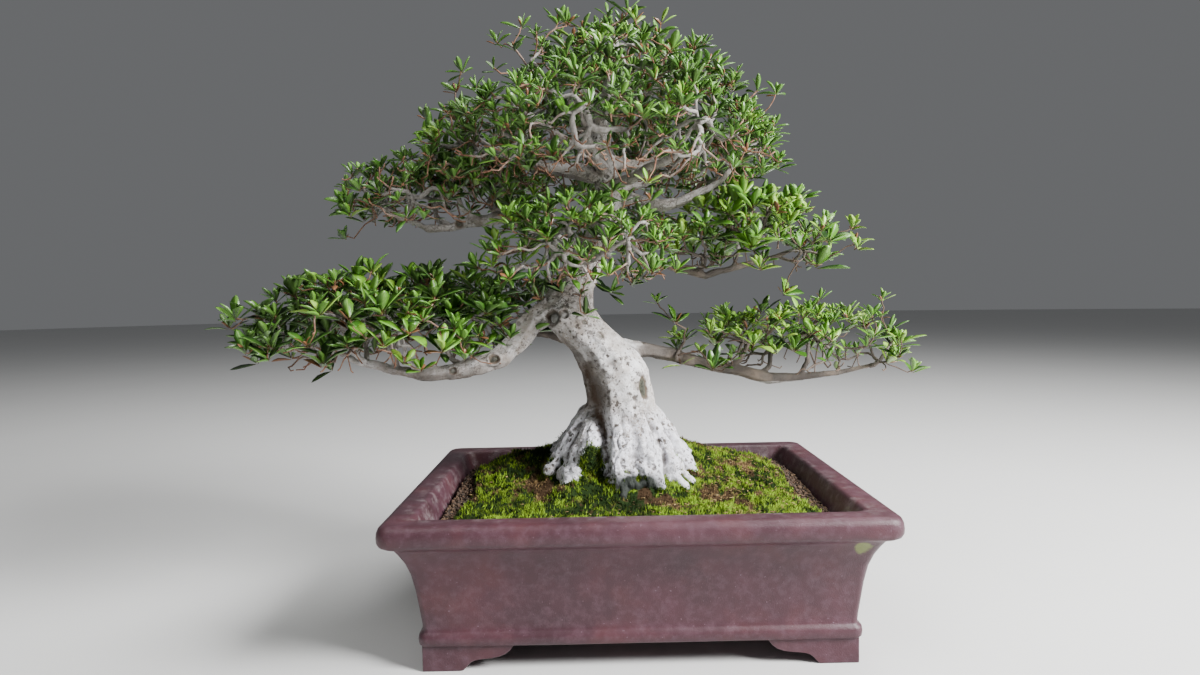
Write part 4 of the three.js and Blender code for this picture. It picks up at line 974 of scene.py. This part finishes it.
def dome_points(middle, half, flatness, count, draw):
    """Places of twigs' tips over a dome, in clumps, and which of them carry leaves."""
    roundness = 1 + 2 * half[2] / (half[0] + half[1])
    shells, leafy = [], []
    for reach_share, share, with_leaves in SHELLS:
        number = round(SPARE_TIPS * count * share)
        k = np.arange(number)
        reach = np.sqrt(1 - (1 - (k + 0.5) / number) ** roundness)
        turn = k * GOLDEN_TURN + 7 * reach_share
        rise = (1 - reach**flatness) ** (1 / flatness)
        form = np.column_stack([reach * np.cos(turn), reach * np.sin(turn), rise])
        shells.append(np.array(middle) + form * half * reach_share)
        leafy.append(draw.random(number) < with_leaves)
    points = np.vstack(shells)
    points += draw.normal(0, 1, points.shape) * np.array(half) * 0.05
    clumps = wobble(points, CLUMP_SIZE)
    points = np.array(middle) + (points - middle) * (1 + 0.16 * clumps[:, None])
    # The crown is sparser at its upper left.
    thin = fade(-points[:, 0], 60, 130) * fade(points[:, 2], 500, 550)
    kept = np.argsort(clumps + draw.normal(0, 0.22, len(points)) - 0.75 * thin)[-count:]
    number = round(count * BARE_UNDERNEATH)
    turn, reach = draw.uniform(0, 2 * math.pi, number), np.sqrt(draw.uniform(0.1, 0.8, number))
    flat = np.column_stack([reach * np.cos(turn), reach * np.sin(turn), draw.uniform(-0.06, 0.25, number)])
    points = np.vstack([points[kept], np.array(middle) + flat * half])
    return points, np.concatenate([np.concatenate(leafy)[kept], np.zeros(number, bool)])


def fork_of(name):
    """Where a spray's plain form leaves the wood, and the way that it grows from there."""
    points = np.array([v.co for v in nodes[name].data.vertices])
    nearest = [wood_search.find_nearest(Vector(p)) for p in points]
    gaps = np.array([hit[3] for hit in nearest])
    first = points[gaps < gaps.min() + 0.6 * MM]
    near = points[np.linalg.norm(points - first.mean(0), axis=1) < 14 * MM]
    foot = np.array(nearest[int(np.argmin(gaps))][0])
    middle = first.mean(0)
    return (middle - [POT_MIDDLE.x, POT_MIDDLE.y, 0]) / MM, unit(near.mean(0) - foot + (middle - foot) * 0.2)


def grow_twigs(forks, ways, owners, tips, tip_ways, draw):
    """Twigs from the forks to the tips. Each leaves the nearest growth, by the way along it, in a bent line.

    Gives the points of growth, the way at each, the point that each grew from, its fork, and the number of
    each tip's point.
    """
    places, directions = [np.array(f) for f in forks], [np.array(w) for w in ways]
    parents, owners, travel = [-1] * len(forks), list(owners), [0.0] * len(forks)
    distance = np.min(np.linalg.norm(tips[:, None] - np.array(forks)[None], axis=2), 1)
    ends = {}
    for t in np.argsort(distance):
        tip = tips[t]
        reach = tip - np.array(places)
        length = np.linalg.norm(reach, axis=1)
        along = (unit(reach) * np.array(directions)).sum(1)
        # The nearest growth that points the tip's way, soon after a fork but not too close to the tip.
        cost = length * (1.25 - 0.35 * along) + 0.2 * np.array(travel) + (length < 8) * 30
        start = int(np.argmin(cost))
        gap = length[start]
        leave = unit(0.6 * directions[start] + 0.4 * unit(reach[start])) * gap * 0.9
        arrive = unit(0.7 * tip_ways[t] + 0.3 * unit(reach[start])) * gap * 0.9
        steps = int(np.clip(round(gap / 7), 3, 9))
        previous = start
        for step in range(1, steps + 1):
            s = step / steps
            place = (
                (2 * s**3 - 3 * s**2 + 1) * places[start] + (s**3 - 2 * s**2 + s) * leave
                + (3 * s**2 - 2 * s**3) * tip + (s**3 - s**2) * arrive
            )
            if step < steps:
                place = place + draw.normal(0, min(0.05 * gap, 1.1), 3)
            places.append(place)
            directions.append(unit(place - places[previous]))
            parents.append(previous)
            owners.append(owners[start])
            travel.append(travel[previous] + float(np.linalg.norm(place - places[previous])))
            previous = len(places) - 1
        ends[int(t)] = previous
    return np.array(places), np.array(directions), parents, owners, ends


def twig_shapes(places, directions, parents, owner, owners, loads, draw):
    """The tubes of one fork's twigs, each with the thickness along it."""
    children = {}
    for i, parent in enumerate(parents):
        if owners[i] == owner:
            children.setdefault(parent, []).append(i)
    shapes, thickness = [], []
    stack = [(i, None) for i in sorted(children) if i >= 0 and parents[i] < 0]
    while stack:
        start, before = stack.pop()
        line = [start] if before is None else [before, start]
        while children.get(line[-1]):
            branches = sorted(children[line[-1]], key=lambda i: -loads[i])
            stack.extend((branch, line[-1]) for branch in branches[1:])
            line.append(branches[0])
        if len(line) < 2:
            continue
        radii = np.minimum(TWIG_RADIUS * loads[line] ** TWIG_GROWTH, FORK_RADIUS)
        radii = radii * draw.uniform(0.85, 1.2, len(radii))
        route = places[line]
        if before is None:
            route = np.vstack([route[0] - directions[start] * 5, route])
            radii = np.concatenate([[radii[0]], radii])
        else:
            radii[0] = radii[1]
        shapes.append(tube(route, radii, TWIG_SIDES))
        thickness.append(np.repeat(radii, TWIG_SIDES))
    return shapes, np.concatenate(thickness)


# One leaf: a blade that is widest past its middle, with its sides folded up a little from the rib.
LEAF_STATIONS = (0.09, 0.35, 0.66, 0.89)
LEAF_WIDTHS = (0.20, 0.76, 1.0, 0.54)
LEAF_THICKNESS = 0.35


def leaf_form():
    """A leaf's points as shares, along, across and under, and its faces."""
    points = [(0, 0, 0)]
    for station, width in zip(LEAF_STATIONS, LEAF_WIDTHS):
        points += [(station, -width, 0), (station, 0, 0), (station, width, 0), (station, 0, 1)]
    points.append((1, 0, 0))
    faces = [(0, 2, 1), (0, 3, 2), (0, 4, 3), (0, 1, 4)]
    for k in range(len(LEAF_STATIONS) - 1):
        left, rib, edge, under = (1 + 4 * k + j for j in range(4))
        faces += [(left, rib, rib + 4, left + 4), (rib, edge, edge + 4, rib + 4)]
        faces += [(edge, under, under + 4, edge + 4), (under, left, left + 4, under + 4)]
    tip = len(points) - 1
    left, rib, edge, under = (tip - 4 + j for j in range(4))
    faces += [(left, rib, tip), (rib, edge, tip), (edge, under, tip), (under, left, tip)]
    return np.array(points, float), faces


def leaves_at(bases, ways, faces_to, lengths, widths, tones, fresh, draw):
    """Many leaves, as points, faces and values for each point."""
    form, form_faces = leaf_form()
    count = len(bases)
    along, across, under = form.T
    droop = draw.uniform(-0.04, 0.24, (count, 1)) * lengths[:, None]
    fold = draw.uniform(0.12, 0.5, (count, 1))
    sideways = np.cross(ways, faces_to)
    half = across[None] * widths[:, None]
    rise = fold * np.abs(half) - droop * along[None] ** 2.2 - LEAF_THICKNESS * under[None]
    points = (
        bases[:, None] + ways[:, None] * (lengths[:, None] * along[None])[..., None]
        + sideways[:, None] * half[..., None] + faces_to[:, None] * rise[..., None]
    )
    start = len(form) * np.arange(count)
    faces = [[int(i + s) for i in face] for s in start for face in form_faces]
    values = {
        "across": np.tile(np.abs(across), count), "along": np.tile(along, count),
        "under": np.tile(under, count), "tone": np.repeat(tones, len(form)),
        "fresh": np.repeat(fresh, len(form)),
    }
    return points.reshape(-1, 3), faces, values


def whorls_at(tips, ways, leaf_length, width_share, light, draw):
    """The leaves round each tip: the old ones spread, and the young ones upright in the middle."""
    rows = []
    whorl_light = light + 0.7 * wobble(tips, 24) + draw.normal(0, 0.15, len(tips))
    # Painted shade: the leaves at the far left of the tree are darker.
    whorl_light -= 0.35 * fade(-tips[:, 0], 240, 340)
    for tip, way, bright in zip(tips, ways, whorl_light):
        side = unit(np.cross(way, draw.normal(0, 1, 3)))
        other = np.cross(way, side)
        number = int(draw.integers(*LEAVES))
        large = draw.random() < LARGE_WHORLS
        size = leaf_length * (1.25 if large else draw.uniform(0.62, 1.15))
        broad = 1.1 if large else draw.uniform(0.85, 1.2)
        for k in range(number):
            young = k / (number - 1)
            angle = k * GOLDEN_TURN + draw.normal(0, 0.15)
            lift = 0.38 + 0.75 * young + draw.normal(0, 0.18)
            out = side * math.cos(angle) + other * math.sin(angle)
            grow = out * math.cos(lift) + way * math.sin(lift)
            face = way * math.cos(lift) - out * math.sin(lift)
            length = size * (1.0 - 0.4 * young) * draw.uniform(0.8, 1.12)
            base = tip - way * (3.5 * (1 - young))
            tone = np.clip(bright + draw.normal(0, 0.17), 0, 1)
            width = length * width_share * broad * draw.uniform(0.85, 1.15)
            if draw.random() < WITHERED:
                tone, width, length = -0.4, 0.6 * width, 0.55 * length
            rows.append((base, grow, face, length, width, tone, young))
    bases, grows, faces_to = (np.array([row[i] for row in rows]) for i in range(3))
    lengths, widths, tones, fresh = (np.array([row[i] for row in rows]) for i in range(3, 7))
    return leaves_at(bases, grows, faces_to, lengths, widths, tones, fresh, draw)


LEAF_DEEP = (0.008, 0.026, 0.004)
LEAF_GREEN = (0.038, 0.135, 0.010)
LEAF_LIGHT = (0.165, 0.385, 0.028)
LEAF_YELLOW = (0.30, 0.42, 0.06)
LEAF_UNDER = (0.13, 0.25, 0.06)
LEAF_VEIN = (0.22, 0.38, 0.09)
LEAF_BROWN = (0.17, 0.075, 0.032)

leaf = Finish("azalea_leaf", LEAF_DEEP)
tone, fresh, across = (leaf.value(name) for name in ("tone", "fresh", "across"))
leaf.over(LEAF_GREEN, leaf.ramp(tone, 0.15, 0.5))
leaf.over(LEAF_LIGHT, leaf.ramp(tone, 0.48, 0.95))
leaf.over(LEAF_YELLOW, leaf.ramp(tone, 0.85, 1.1))
leaf.over(LEAF_LIGHT, fresh, 0.28)
leaf.over(LEAF_VEIN, leaf.ramp(across, 0.16, 0.02), 0.45)
mottle = leaf.noise(420)
leaf.over(LEAF_DEEP, leaf.ramp(mottle, 0.45, 0.8), 0.4)
leaf.over(LEAF_UNDER, leaf.value("under"), 0.7)
leaf.over(LEAF_BROWN, leaf.ramp(tone, -0.1, -0.3))
leaf.over(LEAF_BROWN, leaf.ramp(leaf.value("along"), 0.2, 0.02), 0.9)
leaf.join(leaf.ramp(mottle, -0.5, 2.4), leaf.noise(1500, 2), 0.00012, specular=0.42)

TWIG_RED = (0.150, 0.052, 0.026)
TWIG_TAN = (0.29, 0.18, 0.11)
TWIG_GREY = (0.16, 0.140, 0.125)
TWIG_PALE = (0.35, 0.33, 0.31)
TWIG_BROWN = (0.085, 0.060, 0.043)

twig = Finish("young_bark", TWIG_RED)
streak = twig.noise(300, 5, 0.65)
twig.over(TWIG_TAN, twig.ramp(streak, 0.4, 0.7))
grey = twig.mix(twig.ramp(streak, 0.35, 0.65), TWIG_GREY, TWIG_PALE)
twig.over(grey, twig.ramp(twig.value("thickness"), 0.75, 1.35))
twig.over(TWIG_BROWN, twig.value("dark"), 0.75)
twig.join(twig.ramp(streak, -1.5, 1.3), streak, 0.0006)

draw = np.random.default_rng(21)
for pad, (middle, half, twigs, leaf_length, width_share, light, upright, flatness) in PADS.items():
    own = [name for name in nodes if name.startswith(f"spray_{pad}_")]
    own.sort(key=lambda name: int(name.rsplit("_", 1)[1]))
    forks, ways = zip(*(fork_of(name) for name in own))
    tips, leafy = dome_points(middle, half, flatness, twigs, draw)
    # Close to the trunk and under the crown's front there is little light, so more twigs are bare.
    from_trunk = np.hypot(tips[:, 0] + 20, tips[:, 1])
    leafy &= (draw.random(len(tips)) < 0.35 + 0.65 * fade(from_trunk, 40, 105)) | (tips[:, 2] > 470)
    under_crown = fade(tips[:, 2], 425, 435) * fade(tips[:, 2], 490, 465) * fade(-tips[:, 1], 0, 40)
    leafy &= draw.random(len(tips)) > 0.6 * under_crown
    tips = np.vstack([tips, *[[place] for place in LONG_SHOOTS.get(pad, [])]])
    outward = unit((tips - middle) / np.array(half) ** 2)
    tip_ways = unit(0.6 * outward + [0, 0, upright] + draw.normal(0, 0.24, tips.shape))
    # Shoots on the bare wood count as the pad's first fork's growth.
    lone = [(np.array(foot, float), np.array(tip, float)) for at, foot, tip in LONE_SHOOTS if at == pad]
    for foot, tip in lone:
        forks, ways = [*forks, foot], [*ways, unit(tip - foot)]
        tips = np.vstack([tips, tip])
        tip_ways = np.vstack([tip_ways, unit(tip - foot + [2, -2, 20])])
    owners = [*range(len(own)), *[0] * len(lone)]
    places, directions, parents, owners, ends = grow_twigs(forks, ways, owners, tips, tip_ways, draw)
    loads = np.zeros(len(places))
    loads[list(ends.values())] = 1
    for i in range(len(places) - 1, -1, -1):
        if parents[i] >= 0:
            loads[parents[i]] += loads[i]
    for k, name in enumerate(own):
        shapes, thickness = twig_shapes(places, directions, parents, k, owners, loads, draw)
        mine = [t for t, end in ends.items() if owners[end] == k and (t >= len(leafy) or leafy[t])]
        # Painted shade: whorls deep inside the dome get darker leaves.
        depth = 1 - np.linalg.norm((tips[mine] - middle) / half, axis=1)
        shaded = light + 0.03 - 0.85 * np.clip(depth, 0, 0.6)
        points, faces, values = whorls_at(tips[mine], tip_ways[mine], leaf_length, width_share, shaded, draw)
        no_leaf = np.zeros(len(thickness))
        spray_values = {key: np.concatenate([no_leaf, numbers]) for key, numbers in values.items()}
        spray_values["thickness"] = np.concatenate([thickness, np.zeros(len(points))])
        spray_values["dark"] = np.full(len(thickness) + len(points), float(pad in DARK_PADS))
        spray = new_piece(f"leafy_{name[6:]}", *gather([*shapes, (points, faces)]), spray_values)
        spray.data.materials.append(twig.material)
        spray.data.materials.append(leaf.material)
        slots = np.zeros(len(spray.data.polygons), np.int32)
        slots[len(slots) - len(faces):] = 1
        spray.data.polygons.foreach_set("material_index", slots)
        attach(spray, "root")
        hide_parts(name)

# ---------------- the floor, the light and the camera
# A plain pale floor, a soft lamp at the right with weaker ones at the left and overhead, and a camera level
# with the middle of the trunk.

FLOOR_GREY = (0.60, 0.60, 0.59)
FLOOR_PALE = (0.63, 0.63, 0.62)
FLOOR_RADIUS = 14

floor_paint = Finish("floor_paint", FLOOR_GREY)
floor_paint.over(FLOOR_PALE, floor_paint.noise(3, 2))
floor_paint.join(floor_paint.patches(8, -4, 1.8, 2), floor_paint.noise(400, 2), 0.0001)
form = bmesh.new()
bmesh.ops.create_circle(form, cap_ends=True, segments=96, radius=FLOOR_RADIUS)
floor_mesh = bpy.data.meshes.new("floor")
form.to_mesh(floor_mesh)
form.free()
floor = bpy.data.objects.new("floor", floor_mesh)
bpy.context.scene.collection.objects.link(floor)
wear(floor, floor_paint)

STUDIO_AIR = (0.83, 0.85, 0.88, 1)
STUDIO_GLOW = 0.17
# Each lamp's place, width and power. All of them point at the trunk.
LAMPS = {
    "key": ((1.50, -0.84, 1.25), 0.70, 158),
    "fill": ((-1.1, -1.0, 2.5), 1.6, 32),
    "top": ((0.75, 0.6, 2.7), 1.5, 58),
}
LIT_PLACE = Vector((0, 0, 0.3))

world = bpy.data.worlds.new("studio")
world.use_nodes = True
world.node_tree.nodes["Background"].inputs["Color"].default_value = STUDIO_AIR
world.node_tree.nodes["Background"].inputs["Strength"].default_value = STUDIO_GLOW
bpy.context.scene.world = world
for name, (place, size, power) in LAMPS.items():
    lamp = bpy.data.lights.new(name, "AREA")
    lamp.size = size
    lamp.energy = power
    lamp_object = bpy.data.objects.new(name, lamp)
    lamp_object.location = place
    lamp_object.rotation_euler = (LIT_PLACE - Vector(place)).to_track_quat("-Z", "Y").to_euler()
    bpy.context.scene.collection.objects.link(lamp_object)

SENSOR = 36
LENS = 22.82
EYE = Vector((-0.0355 + POT_MIDDLE.x, -0.7975, 0.3263))
PITCH, YAW, ROLL = (math.radians(degrees) for degrees in (2.99, 0.37, 1.05))
ahead = Vector((math.sin(YAW), math.cos(YAW), 0)) * math.cos(PITCH) - Vector((0, 0, math.sin(PITCH)))
level = Vector((math.cos(YAW), -math.sin(YAW), 0))
upward = level.cross(ahead)
right = level * math.cos(ROLL) - upward * math.sin(ROLL)
upward = upward * math.cos(ROLL) + level * math.sin(ROLL)
camera_data = bpy.data.cameras.new("camera")
camera_data.lens = LENS
camera_data.sensor_width = SENSOR
camera = bpy.data.objects.new("camera", camera_data)
camera.matrix_world = Matrix.Translation(EYE) @ Matrix([right, upward, -ahead]).transposed().to_4x4()
bpy.context.scene.collection.objects.link(camera)
bpy.context.scene.camera = camera
